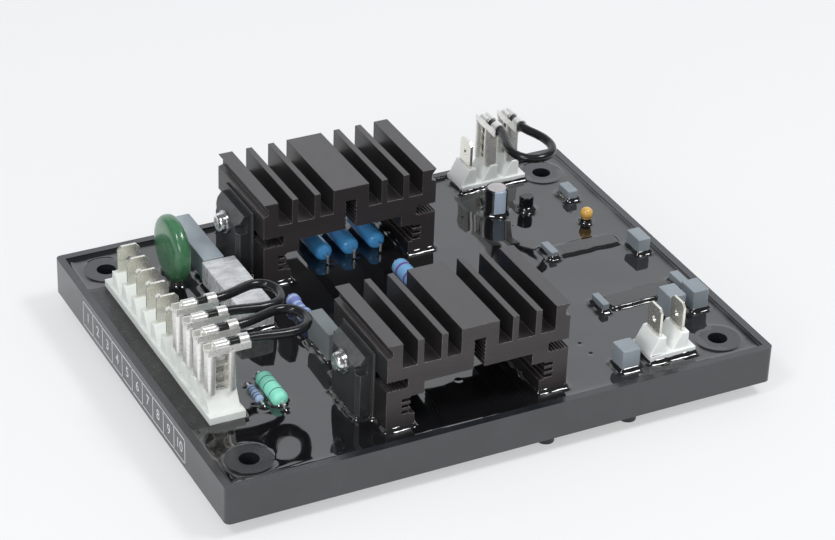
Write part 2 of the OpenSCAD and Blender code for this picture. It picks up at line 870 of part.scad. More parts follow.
// Wings that meet over the wire's cover
module cover_section() {
    difference() {
        union() {
            translate([-barrel_w / 2, 0]) square([barrel_w, wire_up]);
            translate([0, wire_up]) circle(d = barrel_w);
        }
        translate([0, wire_up]) circle(d = barrel_in);
        translate([-barrel_in / 2, strip_t]) square([barrel_in, wire_up - strip_t]);
    }
}

// Wire from the strip towards +X, and from the rear block towards -Y
module front_jumper(way) {
    at = [strip_mid_x, strip_mid_y + way_x(strip_ways, way, strip_pitch) + barrel_x, jumper_z];
    color([0.08, 0.08, 0.085])
        swept_wire([for (p = front_route) at + [p[0], p[1] * fit_y, p[2]]], wire_d);
}

module rear_jumper() {
    at = [rear_block_x + block_pitch / 2 + barrel_x, rear_block_y, jumper_z];
    color([0.08, 0.08, 0.085])
        swept_wire([for (p = rear_route) at + [p[1] * fit_x, -p[0], p[2]]], wire_d);
}

// Tall components

module varistor_leads(from = deck) {
    for (side = [-1, 1])
        translate([varistor_x, varistor_y + side * varistor_lead_pitch / 2, from])
            cylinder(d = lead_d, h = resin_z + varistor_lead_up - from);
}

module varistor() {
    color([0.25, 0.42, 0.29]) {
        translate([varistor_x, varistor_y, resin_z + varistor_d / 2])
            rotate([0, 90, 0])
                rotate_extrude() {
                    translate([0, -varistor_t / 2]) square([(varistor_d - varistor_t) / 2, varistor_t]);
                    translate([(varistor_d - varistor_t) / 2, 0]) circle(d = varistor_t);
                }
        varistor_leads();
    }
}

module mains_capacitor_shape(from = deck) {
    translate([mains_cap_x, mains_cap_y, from]) rounded_plate(mains_cap_t, mains_cap_l * fit_y, mains_cap_h, box_r);
}

module mains_capacitor() {
    color([0.55, 0.58, 0.6]) mains_capacitor_shape();
}

module box_capacitor_shape(cap, from = deck) {
    translate([cap[0] * fit_x, cap[1] * fit_y, from]) rounded_plate(cap[2], cap[3], cap[4], box_r);
}

module box_capacitor(cap) {
    color([0.46, 0.49, 0.53]) box_capacitor_shape(cap);
}

module fuse_cover() {
    color([0.85, 0.88, 0.9, 0.4])
        translate([cover_x, cover_y, deck])
            difference() {
                rounded_plate(cover_w, cover_len, cover_h, box_r);
                translate([-cover_w / 2 + cover_wall, -cover_len / 2 + cover_wall, -cut])
                    cube([cover_w - 2 * cover_wall, cover_len - 2 * cover_wall, cover_h - cover_wall + cut]);
            }
}

module fuse_glass() {
    color([0.8, 0.85, 0.86, 0.5])
        translate([cover_x, cover_y, fuse_z])
            rotate([90, 0, 0])
                cylinder(d = fuse_d, h = fuse_l - 2 * fuse_cap_l / 2, center = true);
}

module fuse_caps() {
    color([0.78, 0.77, 0.72])
        for (side = [-1, 1])
            translate([cover_x, cover_y + side * (fuse_l - fuse_cap_l) / 2, fuse_z])
                rotate([90, 0, 0])
                    difference() {
                        cylinder(d = fuse_cap_d, h = fuse_cap_l, center = true);
                        mirror([0, 0, side > 0 ? 0 : 1])
                            cylinder(d = fuse_d, h = fuse_cap_l);
                    }
}

// Spring clips that hold the fuse by its caps
module fuse_clips() {
    outer = fuse_cap_d + 2 * clip_t;
    color([0.72, 0.7, 0.62])
        for (side = [-1, 1])
            translate([cover_x, cover_y + side * (fuse_l - fuse_cap_l) / 2, fuse_z])
                difference() {
                    union() {
                        rotate([90, 0, 0]) cylinder(d = outer, h = clip_w, center = true);
                        translate([-clip_stem / 2, -clip_w / 2, deck - fuse_z])
                            cube([clip_stem, clip_w, fuse_z - deck]);
                    }
                    rotate([90, 0, 0]) cylinder(d = fuse_cap_d, h = clip_w + 2 * cut, center = true);
                    translate([-clip_open / 2, -clip_w / 2 - cut, 0])
                        cube([clip_open, clip_w + 2 * cut, outer]);
                }
}

// Axial resistors: centre X, centre Y, diameter, length

function power_res(i) = [power_res_x + i * power_res_pitch, power_res_y, power_res_d, power_res_l];

module resistor_leads(res, sink = 0) {
    z = resin_z + res[2] / 2 - sink;
    for (side = [-1, 1])
        translate([res[0], res[1] + side * (res[3] / 2 + lead_run), 0]) {
            translate([0, 0, deck]) cylinder(d = lead_d, h = z - deck);
            translate([0, 0, z]) sphere(d = lead_d);
            translate([0, 0, z]) rotate([side * 90, 0, 0]) cylinder(d = lead_d, h = lead_run + res[2] / 4);
        }
}

module lead_roots(res) {
    for (side = [-1, 1])
        translate([res[0], res[1] + side * (res[3] / 2 + lead_run), root_z])
            cylinder(d = lead_d, h = resin_z + cut - root_z);
}

module resistor_body(res, round, sink = 0) {
    translate([res[0], res[1], resin_z + res[2] / 2 - sink]) rounded_rod(res[3], res[2], round);
}

module power_resistor(i) {
    color([0.22, 0.42, 0.68]) {
        resistor_body(power_res(i), power_res_round);
        resistor_leads(power_res(i));
    }
}

module pale_blue_resistor() {
    color([0.42, 0.66, 0.86]) {
        resistor_body(pale_res, power_res_round);
        resistor_leads(pale_res);
    }
}

// Waisted body between two bulbous ends
module violet_resistor() {
    end_l = violet_res[3] / 4;
    color([0.5, 0.54, 0.8]) {
        for (side = [-1, 1])
            translate([violet_res[0], violet_res[1] + side * (violet_res[3] - end_l) / 2, resin_z + violet_res[2] / 2])
                rounded_rod(end_l, violet_res[2], small_round);
        translate([violet_res[0], violet_res[1], resin_z + violet_res[2] / 2])
            rounded_rod(violet_res[3] - end_l, violet_waist, small_round);
        resistor_leads(violet_res);
    }
}

module mint_body() {
    resistor_body(mint_res, power_res_round, mint_sink);
}

module mint_resistor() {
    color([0.5, 0.78, 0.7]) {
        mint_body();
        resistor_leads(mint_res, mint_sink);
    }
}

module small_body() {
    resistor_body(small_res, small_round, small_sink);
}

module small_resistor() {
    color([0.62, 0.72, 0.84]) {
        small_body();
        resistor_leads(small_res, small_sink);
    }
}

// Small upright components

module electrolytic_capacitor() {
    r = electrolytic_d / 2;
    color([0.42, 0.48, 0.58])
        translate([electrolytic_at[0], electrolytic_at[1], deck])
            rotate_extrude()
                polygon([
                    [0, 0], [r, 0], [r, electrolytic_h - can_round],
                    [r - can_round, electrolytic_h], [r - can_rim, electrolytic_h],
                    [r - can_rim, electrolytic_h - can_dish], [0, electrolytic_h - can_dish]
                ]);
}

module transistor_shape(from = deck) {
    translate([transistor_at[0], transistor_at[1], from])
        difference() {
            cylinder(d = transistor_d, h = transistor_h);
            translate([-transistor_d, transistor_flat, -cut])
                cube([2 * transistor_d, transistor_d, transistor_h + 2 * cut]);
        }
}

module transistor() {
    color([0.07, 0.07, 0.075]) transistor_shape();
}

module bead_leads(from = deck) {
    for (side = [-1, 1])
        translate([bead_at[0] + side * bead_lead_pitch / 2, bead_at[1], from])
            cylinder(d = lead_d, h = bead_z - from);
}

module bead_capacitor() {
    color([0.86, 0.7, 0.4]) {
        translate([bead_at[0], bead_at[1], bead_z]) sphere(d = bead_d);
        translate([bead_at[0], bead_at[1], resin_z])
            cylinder(d1 = bead_skirt, d2 = bead_d * 0.95, h = bead_z - resin_z);
        bead_leads();
    }
}

// Moulded body on two rows of straight pins
module ic_shape(at, from = deck) {
    body_h = ic_h - ic_stand;
    translate([at[0] - ic_len / 2, at[1] - ic_w / 2, deck + ic_stand]) cube([ic_len, ic_w, body_h]);
    for (i = [0 : ic_pins - 1], side = [-1, 1])
        translate([
            at[0] + (i - (ic_pins - 1) / 2) * ic_pin_pitch - ic_pin_w / 2,
            at[1] + side * ic_w / 2 - ic_pin_t,
            from
        ])
            cube([ic_pin_w, 2 * ic_pin_t, deck + ic_stand + body_h / 2 - from]);
}

module ic(at) {
    color([0.09, 0.09, 0.1]) ic_shape(at);
}

// Adjusters and lamp under the floor

module trimmer_body(spot) {
    color([0.16, 0.28, 0.5])
        translate([spot[0], spot[1], inner_z])
            difference() {
                translate([-trimmer_body_w / 2, -trimmer_body_w / 2, 0])
                    cube([trimmer_body_w, trimmer_body_w, board_gap]);
                translate([0, 0, -cut])
                    cylinder(d = spindle_neck_d + 2 * adjuster_clear, h = spindle_neck_h + adjuster_clear + cut);
            }
}

module trimmer_spindle(spot) {
    head_top = inner_z - spindle_gap;
    head_z = floor_z - adjuster_out;
    color([0.14, 0.14, 0.15])
        translate([spot[0], spot[1], 0])
            difference() {
                union() {
                    translate([0, 0, head_z]) cylinder(d = adjuster_d, h = head_top - head_z);
                    translate([0, 0, head_top - cut])
                        cylinder(d = spindle_neck_d, h = spindle_neck_h + spindle_gap + cut);
                }
                translate([-adjuster_d, -adjuster_slot / 2, head_z - cut])
                    cube([2 * adjuster_d, adjuster_slot, adjuster_slot_deep + cut]);
            }
}

module lamp_shape() {
    translate([led_at[0], led_at[1], 0]) {
        translate([0, 0, floor_z - led_out + led_d / 2])
            cylinder(d = led_d, h = board_z - floor_z + led_out - led_d / 2);
        translate([0, 0, floor_z - led_out + led_d / 2]) sphere(d = led_d);
        translate([0, 0, inner_z]) cylinder(d = led_rim_d, h = led_rim_h);
    }
}

module status_led() {
    color([0.7, 0.1, 0.1]) lamp_shape();
}

tray();
potting_resin();
circuit_board();
heat_sink(front_y);  // heat_sink_front
heat_sink(rear_y);  // heat_sink_rear
insulator(front_y);  // insulator_front
insulator(rear_y);  // insulator_rear
power_device(front_y);  // power_device_front
power_device(rear_y);  // power_device_rear
clamp_screw(front_y);  // clamp_screw_front
clamp_screw(rear_y);  // clamp_screw_rear
clamp_washers();
on_strip() terminal_block(strip_ways, strip_end, strip_pitch);  // terminal_strip
on_strip() tab_row(strip_ways, strip_pitch);  // strip_tabs
on_strip() receptacle(strip_ways, 3, strip_pitch);  // receptacle_7
on_strip() receptacle(strip_ways, 2, strip_pitch);  // receptacle_8
on_strip() receptacle(strip_ways, 1, strip_pitch);  // receptacle_9
on_strip() receptacle(strip_ways, 0, strip_pitch);  // receptacle_10
front_jumper(3);  // jumper_7_8
front_jumper(1);  // jumper_9_10
on_rear_block() terminal_block(rear_ways, 0, block_pitch);  // rear_terminal_block
on_rear_block() tab_row(rear_ways, block_pitch);  // rear_tabs
on_rear_block() receptacle(rear_ways, 1, block_pitch);  // rear_receptacle_left
on_rear_block() receptacle(rear_ways, 2, block_pitch);  // rear_receptacle_right
rear_jumper();
on_side_block() terminal_block(side_ways, 0, block_pitch);  // side_terminal_block
on_side_block() tab_row(side_ways, block_pitch);  // side_tabs
varistor();
mains_capacitor();
fuse_cover();
fuse_glass();
fuse_caps();
fuse_clips();
power_resistor(-1);  // power_resistor_left
power_resistor(0);  // power_resistor_middle
power_resistor(1);  // power_resistor_right
pale_blue_resistor();
violet_resistor();
mint_resistor();
small_resistor();
box_capacitor(snubber);  // snubber_capacitor
electrolytic_capacitor();
transistor();
bead_capacitor();
ic(ic_rear_at);  // ic_rear
ic(ic_front_at);  // ic_front
box_capacitor(film_caps[0]);  // film_capacitor_a
box_capacitor(film_caps[1]);  // film_capacitor_b
box_capacitor(film_caps[2]);  // film_capacitor_c
box_capacitor(film_caps[3]);  // film_capacitor_d
box_capacitor(film_caps[4]);  // film_capacitor_e
box_capacitor(film_caps[5]);  // film_capacitor_f
box_capacitor(film_caps[6]);  // film_capacitor_g
box_capacitor(film_caps[7]);  // film_capacitor_h
trimmer_body(adjuster_spots[0]);  // trimmer_body_left
trimmer_body(adjuster_spots[1]);  // trimmer_body_right
trimmer_spindle(adjuster_spots[0]);  // trimmer_spindle_left
trimmer_spindle(adjuster_spots[1]);  // trimmer_spindle_right
status_led();
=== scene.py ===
"""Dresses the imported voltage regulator: bevelled pieces, poured resin, wires, finishes, studio and camera."""
import logging
import math
from collections.abc import Callable
from dataclasses import dataclass
from enum import Enum

import bmesh
import bpy
import numpy as np
from mathutils import Matrix, Vector, noise


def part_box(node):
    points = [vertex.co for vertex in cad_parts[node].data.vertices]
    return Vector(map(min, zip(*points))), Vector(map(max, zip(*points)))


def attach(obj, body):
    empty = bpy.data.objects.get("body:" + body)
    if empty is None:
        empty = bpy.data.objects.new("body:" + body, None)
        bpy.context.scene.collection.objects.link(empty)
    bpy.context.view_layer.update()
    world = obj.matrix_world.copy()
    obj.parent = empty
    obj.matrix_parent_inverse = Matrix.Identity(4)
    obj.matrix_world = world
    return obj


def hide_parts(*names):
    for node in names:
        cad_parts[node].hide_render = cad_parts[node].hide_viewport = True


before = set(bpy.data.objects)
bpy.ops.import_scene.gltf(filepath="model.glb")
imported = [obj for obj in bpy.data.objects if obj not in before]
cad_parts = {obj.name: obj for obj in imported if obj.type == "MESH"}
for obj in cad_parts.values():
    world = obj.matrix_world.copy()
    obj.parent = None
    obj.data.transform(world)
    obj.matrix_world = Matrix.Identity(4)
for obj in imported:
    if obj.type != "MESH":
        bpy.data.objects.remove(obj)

log = logging.getLogger("regulator")
MM = 0.001
UNIT_BODY = "unit"
RESIN_LEVEL = 14.2
Colour = tuple[float, float, float]
Socket = bpy.types.NodeSocket
Object = bpy.types.Object
Material = bpy.types.Material


def mm(x: float, y: float, z: float) -> Vector:
    """A point or size given in millimetres, in metres."""
    return Vector((x, y, z)) * MM


class Graph:
    """A node tree with short calls for adding and joining nodes."""

    def __init__(self, tree: bpy.types.NodeTree) -> None:
        """Keeps the tree."""
        self.tree = tree

    def add(
        self, kind: str, inputs: dict[str | int, object] | None = None, **props: object
    ) -> bpy.types.Node:
        """Adds a node.

        Args:
            kind: The node's type.
            inputs: Values or output sockets, by the input's name or number.
            props: Settings of the node itself.

        Returns:
            The new node.
        """
        node = self.tree.nodes.new(kind)
        for name, value in props.items():
            setattr(node, name, value)
        for key, value in (inputs or {}).items():
            if isinstance(value, Socket):
                self.tree.links.new(value, node.inputs[key])
            else:
                node.inputs[key].default_value = value
        return node

    def math(self, operation: str, a: object, b: object = 0.0, c: object = 0.0) -> Socket:
        """One Math node's result."""
        return self.add("ShaderNodeMath", {0: a, 1: b, 2: c}, operation=operation).outputs[0]

    def span(self, value: object, low: float, high: float, to_low: float, to_high: float) -> Socket:
        """A value moved from one range to another, and held inside it."""
        inputs = {"Value": value, "From Min": low, "From Max": high, "To Min": to_low, "To Max": to_high}
        return self.add("ShaderNodeMapRange", inputs).outputs["Result"]

    def mix(self, factor: object, a: object, b: object) -> Socket:
        """Two colours mixed by a factor.

        Args:
            factor: How much of the second colour, as a value or a socket.
            a: The first colour, as numbers or a socket.
            b: The second colour.

        Returns:
            The mixed colour.
        """
        node = self.add("ShaderNodeMix", data_type="RGBA")
        for number, value in ((0, factor), (6, a), (7, b)):
            if isinstance(value, Socket):
                self.tree.links.new(value, node.inputs[number])
            elif number == 0:
                node.inputs[0].default_value = value
            else:
                node.inputs[number].default_value = (*value, 1.0)
        return node.outputs[2]


class SurfaceGrain:
    """The shared node group: slow patches, fine grain and sparse specks."""

    NAME = "surface_grain"

    @classmethod
    def group(cls) -> bpy.types.NodeTree:
        """Finds the group, or builds it on its first use.

        Returns:
            The group's tree.
        """
        found = bpy.data.node_groups.get(cls.NAME)
        if found:
            return found
        tree = bpy.data.node_groups.new(cls.NAME, "ShaderNodeTree")
        tree.interface.new_socket("Vector", in_out="INPUT", socket_type="NodeSocketVector")
        for name in ("Patch Scale", "Grain Scale", "Speck Scale"):
            tree.interface.new_socket(name, in_out="INPUT", socket_type="NodeSocketFloat")
        for name in ("Patch", "Grain", "Speck"):
            tree.interface.new_socket(name, in_out="OUTPUT", socket_type="NodeSocketFloat")
        g = Graph(tree)
        entry = g.add("NodeGroupInput").outputs
        at = entry["Vector"]
        patch = g.add("ShaderNodeTexNoise", {"Vector": at, "Scale": entry["Patch Scale"], "Detail": 3.0})
        grain = g.add("ShaderNodeTexNoise", {"Vector": at, "Scale": entry["Grain Scale"], "Detail": 4.0})
        cells = g.add("ShaderNodeTexVoronoi", {"Vector": at, "Scale": entry["Speck Scale"]})
        red = g.add("ShaderNodeSeparateColor", {"Color": cells.outputs["Color"]}).outputs["Red"]
        dot = g.span(cells.outputs["Distance"], 0.05, 0.16, 1.0, 0.0)
        sparse = g.math("GREATER_THAN", red, 0.8)
        g.add("NodeGroupOutput", {
            "Patch": g.span(patch.outputs["Fac"], 0.35, 0.65, 0.0, 1.0),
            "Grain": grain.outputs["Fac"],
            "Speck": g.math("MULTIPLY", dot, sparse),
        })
        return tree


@dataclass(frozen=True)
class Finish:
    """A surface finish: colour that drifts in patches, grain in its gloss and a fine bump.

    Sizes of grain, patches and specks are in millimetres. Stretch draws the grain out along an axis
    where it is below 1.
    """

    name: str
    colour: Colour
    drift: Colour
    roughness: float
    roughness_span: float = 0.06
    metallic: float = 0.0
    ior: float = 1.5
    coat: float = 0.0
    subsurface: float = 0.0
    transmission: float = 0.0
    alpha: float = 1.0
    patch: float = 9.0
    grain: float = 0.5
    grain_height: float = 0.004
    speck: float = 3.0
    speck_height: float = 0.0
    stretch: tuple[float, float, float] = (1.0, 1.0, 1.0)

    def material(self) -> Material:
        """Finds the finish's material, or builds it on its first use.

        Returns:
            The material.
        """
        label = "finish_" + self.name
        found = bpy.data.materials.get(label)
        if found:
            return found
        made = bpy.data.materials.new(label)
        made.use_nodes = True
        made.node_tree.nodes.clear()
        g = Graph(made.node_tree)
        place = g.add("ShaderNodeTexCoord").outputs["Object"]
        drawn = g.add("ShaderNodeMapping", {"Vector": place, "Scale": self.stretch}).outputs["Vector"]
        surface = g.add("ShaderNodeGroup", node_tree=SurfaceGrain.group())
        g.tree.links.new(drawn, surface.inputs["Vector"])
        scales = {"Patch Scale": self.patch, "Grain Scale": self.grain, "Speck Scale": self.speck}
        for name, size in scales.items():
            surface.inputs[name].default_value = 1.0 / (size * MM)
        patch, grain, speck = (surface.outputs[name] for name in ("Patch", "Grain", "Speck"))
        glossy, dull = self.roughness - self.roughness_span, self.roughness + self.roughness_span
        rough = g.span(grain, 0.3, 0.7, glossy, dull)
        height = g.math("MULTIPLY", grain, self.grain_height * MM)
        if self.speck_height:
            height = g.math("MULTIPLY_ADD", speck, self.speck_height * MM, height)
        bump = g.add("ShaderNodeBump", {"Height": height, "Distance": 1.0})
        shader = g.add("ShaderNodeBsdfPrincipled", {
            "Base Color": self.paint(g, place, g.mix(patch, self.colour, self.drift)),
            "Roughness": rough,
            "Normal": bump.outputs["Normal"],
            "Metallic": self.metallic,
            "IOR": self.ior,
            "Coat Weight": self.coat,
            "Transmission Weight": self.transmission,
            "Subsurface Weight": self.subsurface,
            "Subsurface Radius": (1.0, 1.0, 0.9),
            "Subsurface Scale": MM,
            "Alpha": self.alpha,
        })
        g.add("ShaderNodeOutputMaterial", {"Surface": shader.outputs["BSDF"]})
        return made

    def paint(self, g: Graph, place: Socket, base: Socket) -> Socket:
        """The colour after anything that is painted over the base."""
        return base


@dataclass(frozen=True)
class RingedFinish(Finish):
    """A finish with painted rings across the Y axis, at places given in millimetres."""

    rings: tuple[float, ...] = ()
    ring_width: float = 0.4
    ring_colour: Colour = (0.02, 0.08, 0.06)

    def paint(self, g: Graph, place: Socket, base: Socket) -> Socket:
        """The base with its rings.

        Args:
            g: The material's graph.
            place: Object coordinates.
            base: The colour below.

        Returns:
            The painted colour.
        """
        along = g.add("ShaderNodeSeparateXYZ", {"Vector": place}).outputs["Y"]
        for at in self.rings:
            inside = g.math("COMPARE", along, at * MM, self.ring_width * MM / 2)
            base = g.mix(inside, base, self.ring_colour)
        return base


@dataclass(frozen=True)
class StripedFinish(Finish):
    """A finish with one upright stripe on a round can, turned about the can's axis."""

    axis: tuple[float, float] = (0.0, 0.0)
    stripe_angle: float = 0.0
    stripe_half: float = 30.0
    stripe_colour: Colour = (0.42, 0.5, 0.62)

    def paint(self, g: Graph, place: Socket, base: Socket) -> Socket:
        """The base with its stripe.

        Args:
            g: The material's graph.
            place: Object coordinates.
            base: The colour below.

        Returns:
            The painted colour.
        """
        part = g.add("ShaderNodeSeparateXYZ", {"Vector": place}).outputs
        x = g.math("SUBTRACT", part["X"], self.axis[0] * MM)
        y = g.math("SUBTRACT", part["Y"], self.axis[1] * MM)
        angle = g.math("ARCTAN2", y, x)
        inside = g.math("COMPARE", angle, math.radians(self.stripe_angle), math.radians(self.stripe_half))
        return g.mix(inside, base, self.stripe_colour)


class Finishes:
    """Every finish of the regulator."""

    TRAY = Finish("tray_plastic", (0.015, 0.017, 0.02), (0.021, 0.023, 0.027), 0.22, 0.06, ior=1.78,
                  grain=0.35, grain_height=0.002)
    RESIN = Finish("poured_resin", (0.006, 0.006, 0.007), (0.009, 0.009, 0.01), 0.04, 0.015, ior=2.0,
                   patch=30, grain=5, grain_height=0.004, speck=6, speck_height=0.02)
    SKIN = Finish("package_skin", (0.01, 0.01, 0.01), (0.016, 0.015, 0.014), 0.12, 0.04, ior=1.85, grain=0.9,
                  grain_height=0.012)
    FILM = Finish("channel_resin", (0.01, 0.01, 0.011), (0.015, 0.015, 0.016), 0.3, 0.05, ior=1.6, patch=14,
                  grain=1.2, grain_height=0.004)
    WETTED = Finish("resin_skin", (0.006, 0.006, 0.007), (0.01, 0.01, 0.011), 0.08, 0.03, ior=1.7, grain=1.2,
                    grain_height=0.03)
    ANODISED = Finish("black_anodised", (0.012, 0.0105, 0.011), (0.017, 0.015, 0.016), 0.38, 0.06, ior=1.55,
                      grain=0.25, grain_height=0.005, stretch=(1.0, 0.02, 1.0))
    # Upward faces of the sinks: the anodising painted lighter and browner, a painted sheen from the light
    # above.
    TOP_SHEEN_ANODISED = Finish("anodised_top_painted_sheen", (0.026, 0.02, 0.021), (0.034, 0.027, 0.028), 0.33, 0.06, ior=1.92,
                     grain=0.25, grain_height=0.005, stretch=(1.0, 0.02, 1.0))
    SAWN = Finish("sawn_anodised_end", (0.032, 0.026, 0.027), (0.044, 0.036, 0.037), 0.5, 0.1, grain=0.3,
                  grain_height=0.008, stretch=(0.08, 1.0, 1.0))
    WORN = Finish("worn_edge", (0.022, 0.019, 0.02), (0.11, 0.1, 0.098), 0.34, 0.1, ior=1.62, patch=0.4,
                  grain=0.2)
    # Eased edges of packages and plates: painted paler, a painted highlight along each edge.
    LIT_EDGE = Finish("package_edge_painted_highlight", (0.06, 0.063, 0.066), (0.08, 0.083, 0.086), 0.24, 0.06, ior=1.8,
                      grain=0.3)
    INSULATOR = Finish("insulating_plate", (0.035, 0.034, 0.036), (0.05, 0.048, 0.05), 0.45)
    # Sloping tops of packages and plates: painted paler, a painted highlight from the lamp above.
    PACKAGE_TOP_SHEEN = Finish("package_top_painted_highlight", (0.085, 0.09, 0.091), (0.115, 0.12, 0.121), 0.36, 0.08, patch=1.5,
                         grain=0.3)
    PACKAGE = Finish("moulded_package", (0.026, 0.028, 0.03), (0.034, 0.036, 0.038), 0.34, 0.07, grain=0.3)
    ZINC = Finish("bright_zinc", (0.86, 0.87, 0.87), (0.76, 0.77, 0.77), 0.26, 0.1, metallic=1.0, grain=0.3)
    NYLON = Finish("milky_nylon", (0.78, 0.81, 0.77), (0.82, 0.845, 0.81), 0.42, 0.08, subsurface=0.2,
                   grain=0.6)
    # The strip's nylon painted paler on the two blocks, painted light standing in for the shade they sit in.
    BLOCK_NYLON_PAINTED_LIGHT = Finish("block_nylon_painted_lighter", (0.88, 0.91, 0.88), (0.91, 0.935, 0.905), 0.42, 0.08, subsurface=0.2,
                         grain=0.6)
    NICKEL = Finish("nickel_tab", (0.9, 0.88, 0.81), (0.82, 0.8, 0.73), 0.25, 0.03, metallic=0.8, patch=4,
                    grain_height=0.0008, stretch=(1.0, 1.0, 0.5))
    TIN = Finish("tinned_strip", (0.94, 0.93, 0.9), (0.84, 0.83, 0.8), 0.34, 0.08, metallic=0.72,
                 grain_height=0.005, patch=1.2)
    WIRE = Finish("wire_cover", (0.012, 0.012, 0.013), (0.018, 0.018, 0.02), 0.2, 0.05, grain=0.8)
    VARISTOR = Finish("green_coating", (0.05, 0.16, 0.075), (0.07, 0.2, 0.1), 0.22, 0.06, coat=0.4, patch=5,
                      grain=1.2, grain_height=0.02)
    GREY_CASE = Finish("grey_case", (0.262, 0.3, 0.33), (0.3, 0.338, 0.368), 0.42, 0.06, grain=0.4)
    SNUBBER_CASE = Finish("snubber_case", (0.19, 0.215, 0.225), (0.23, 0.255, 0.265), 0.42, 0.06, grain=0.4)
    MAINS_CASE = Finish("mains_case", (0.34, 0.395, 0.43), (0.38, 0.435, 0.47), 0.42, 0.06, grain=0.4)
    COVER = Finish("frosted_cover", (0.64, 0.65, 0.67), (0.95, 0.96, 0.97), 0.3, 0.14, transmission=0.25,
                   ior=1.45, patch=1.6, grain=0.7, grain_height=0.012, stretch=(0.35, 0.8, 0.35))
    GLASS = Finish("fuse_glass", (0.95, 0.9, 0.8), (0.98, 0.94, 0.86), 0.03, 0.01, transmission=1.0, ior=1.45)
    FUSE_METAL = Finish("fuse_metal", (0.72, 0.7, 0.64), (0.6, 0.57, 0.5), 0.25, 0.08, metallic=1.0)
    BLUE = Finish("blue_lacquer", (0.1, 0.47, 1.0), (0.12, 0.5, 1.0), 0.2, 0.05, coat=0.5, grain=1.0,
                  grain_height=0.012)
    PALE_BLUE = RingedFinish("pale_blue_lacquer", (0.2, 0.45, 0.75), (0.25, 0.5, 0.8), 0.2, 0.05, coat=0.4,
                             rings=(2.6, 5.2, 8.0, 12.6), ring_width=0.9, ring_colour=(0.2, 0.1, 0.35))
    SMALL_BLUE = RingedFinish("small_blue_lacquer", (0.3, 0.42, 0.62), (0.36, 0.48, 0.68), 0.25, 0.05,
                              rings=(-26.2, -25.0, -23.4, -22.2), ring_width=0.5,
                              ring_colour=(0.1, 0.13, 0.25))
    VIOLET = RingedFinish("violet_lacquer", (0.2, 0.25, 0.6), (0.25, 0.3, 0.66), 0.22, 0.05, coat=0.3,
                          rings=(3.4, 6.0, 8.2, 11.0), ring_width=0.9, ring_colour=(0.45, 0.6, 0.75))
    MINT = RingedFinish("mint_lacquer", (0.27, 0.8, 0.6), (0.32, 0.86, 0.66), 0.4, 0.08, grain=0.5,
                        grain_height=0.02, rings=(-19.6, -21.9, -24.5, -28.2), ring_width=0.32)
    LEAD = Finish("tinned_lead", (0.9, 0.89, 0.87), (0.82, 0.81, 0.79), 0.4, 0.08, metallic=1.0)
    SLEEVE = StripedFinish("can_sleeve", (0.012, 0.013, 0.016), (0.018, 0.019, 0.022), 0.2, 0.05, coat=0.3,
                           axis=(45.7, 34.6), stripe_angle=-95.0, stripe_half=33.0)
    CAN_TOP = Finish("can_top", (0.8, 0.77, 0.78), (0.74, 0.71, 0.72), 0.42, 0.04, metallic=0.3, grain=1.5,
                     grain_height=0.002)
    AMBER = Finish("amber_dip", (0.72, 0.42, 0.1), (0.8, 0.5, 0.14), 0.2, 0.05, coat=0.4, subsurface=0.2,
                   grain=0.8, grain_height=0.02)
    BOARD = Finish("board_green", (0.02, 0.12, 0.05), (0.03, 0.15, 0.06), 0.4)
    TRIMMER = Finish("trimmer_blue", (0.03, 0.08, 0.24), (0.04, 0.1, 0.28), 0.4)
    SPINDLE = Finish("spindle_black", (0.025, 0.025, 0.027), (0.035, 0.035, 0.037), 0.38)
    RED_LENS = Finish("red_lens", (0.5, 0.02, 0.02), (0.56, 0.03, 0.03), 0.12, 0.03, transmission=0.4)
    INK = Finish("pale_ink", (0.62, 0.63, 0.65), (0.7, 0.71, 0.72), 0.55)


class Corner(Enum):
    """How round the edges of a bevelled copy are, as a width in millimetres."""

    CRISP = 0.05
    STAMPED = 0.09
    EXTRUDED = 0.14
    MOULDED = 0.28
    SOFT = 0.4
    ROUNDED = 0.7


def place_mesh(
    name: str, bm: bmesh.types.BMesh, finishes: list[Finish], body: str, smooth: float = 35.0
) -> Object:
    """Makes a finished mesh into a piece that rides on a body.

    Args:
        name: The piece's name.
        bm: The mesh in the row frame, freed here.
        finishes: One finish for each material index.
        body: The CAD body that it rides on.
        smooth: Edges sharper than this, in degrees, stay sharp.

    Returns:
        The piece.
    """
    mesh = bpy.data.meshes.new(name)
    bm.to_mesh(mesh)
    bm.free()
    if "custom_normal" in mesh.attributes:
        mesh.attributes.remove(mesh.attributes["custom_normal"])
    mesh.shade_smooth()
    mesh.set_sharp_from_angle(angle=math.radians(smooth))
    for finish in finishes:
        mesh.materials.append(finish.material())
    piece = bpy.data.objects.new(name, mesh)
    bpy.context.scene.collection.objects.link(piece)
    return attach(piece, body)


Pick = Callable[[Vector, Vector], int]


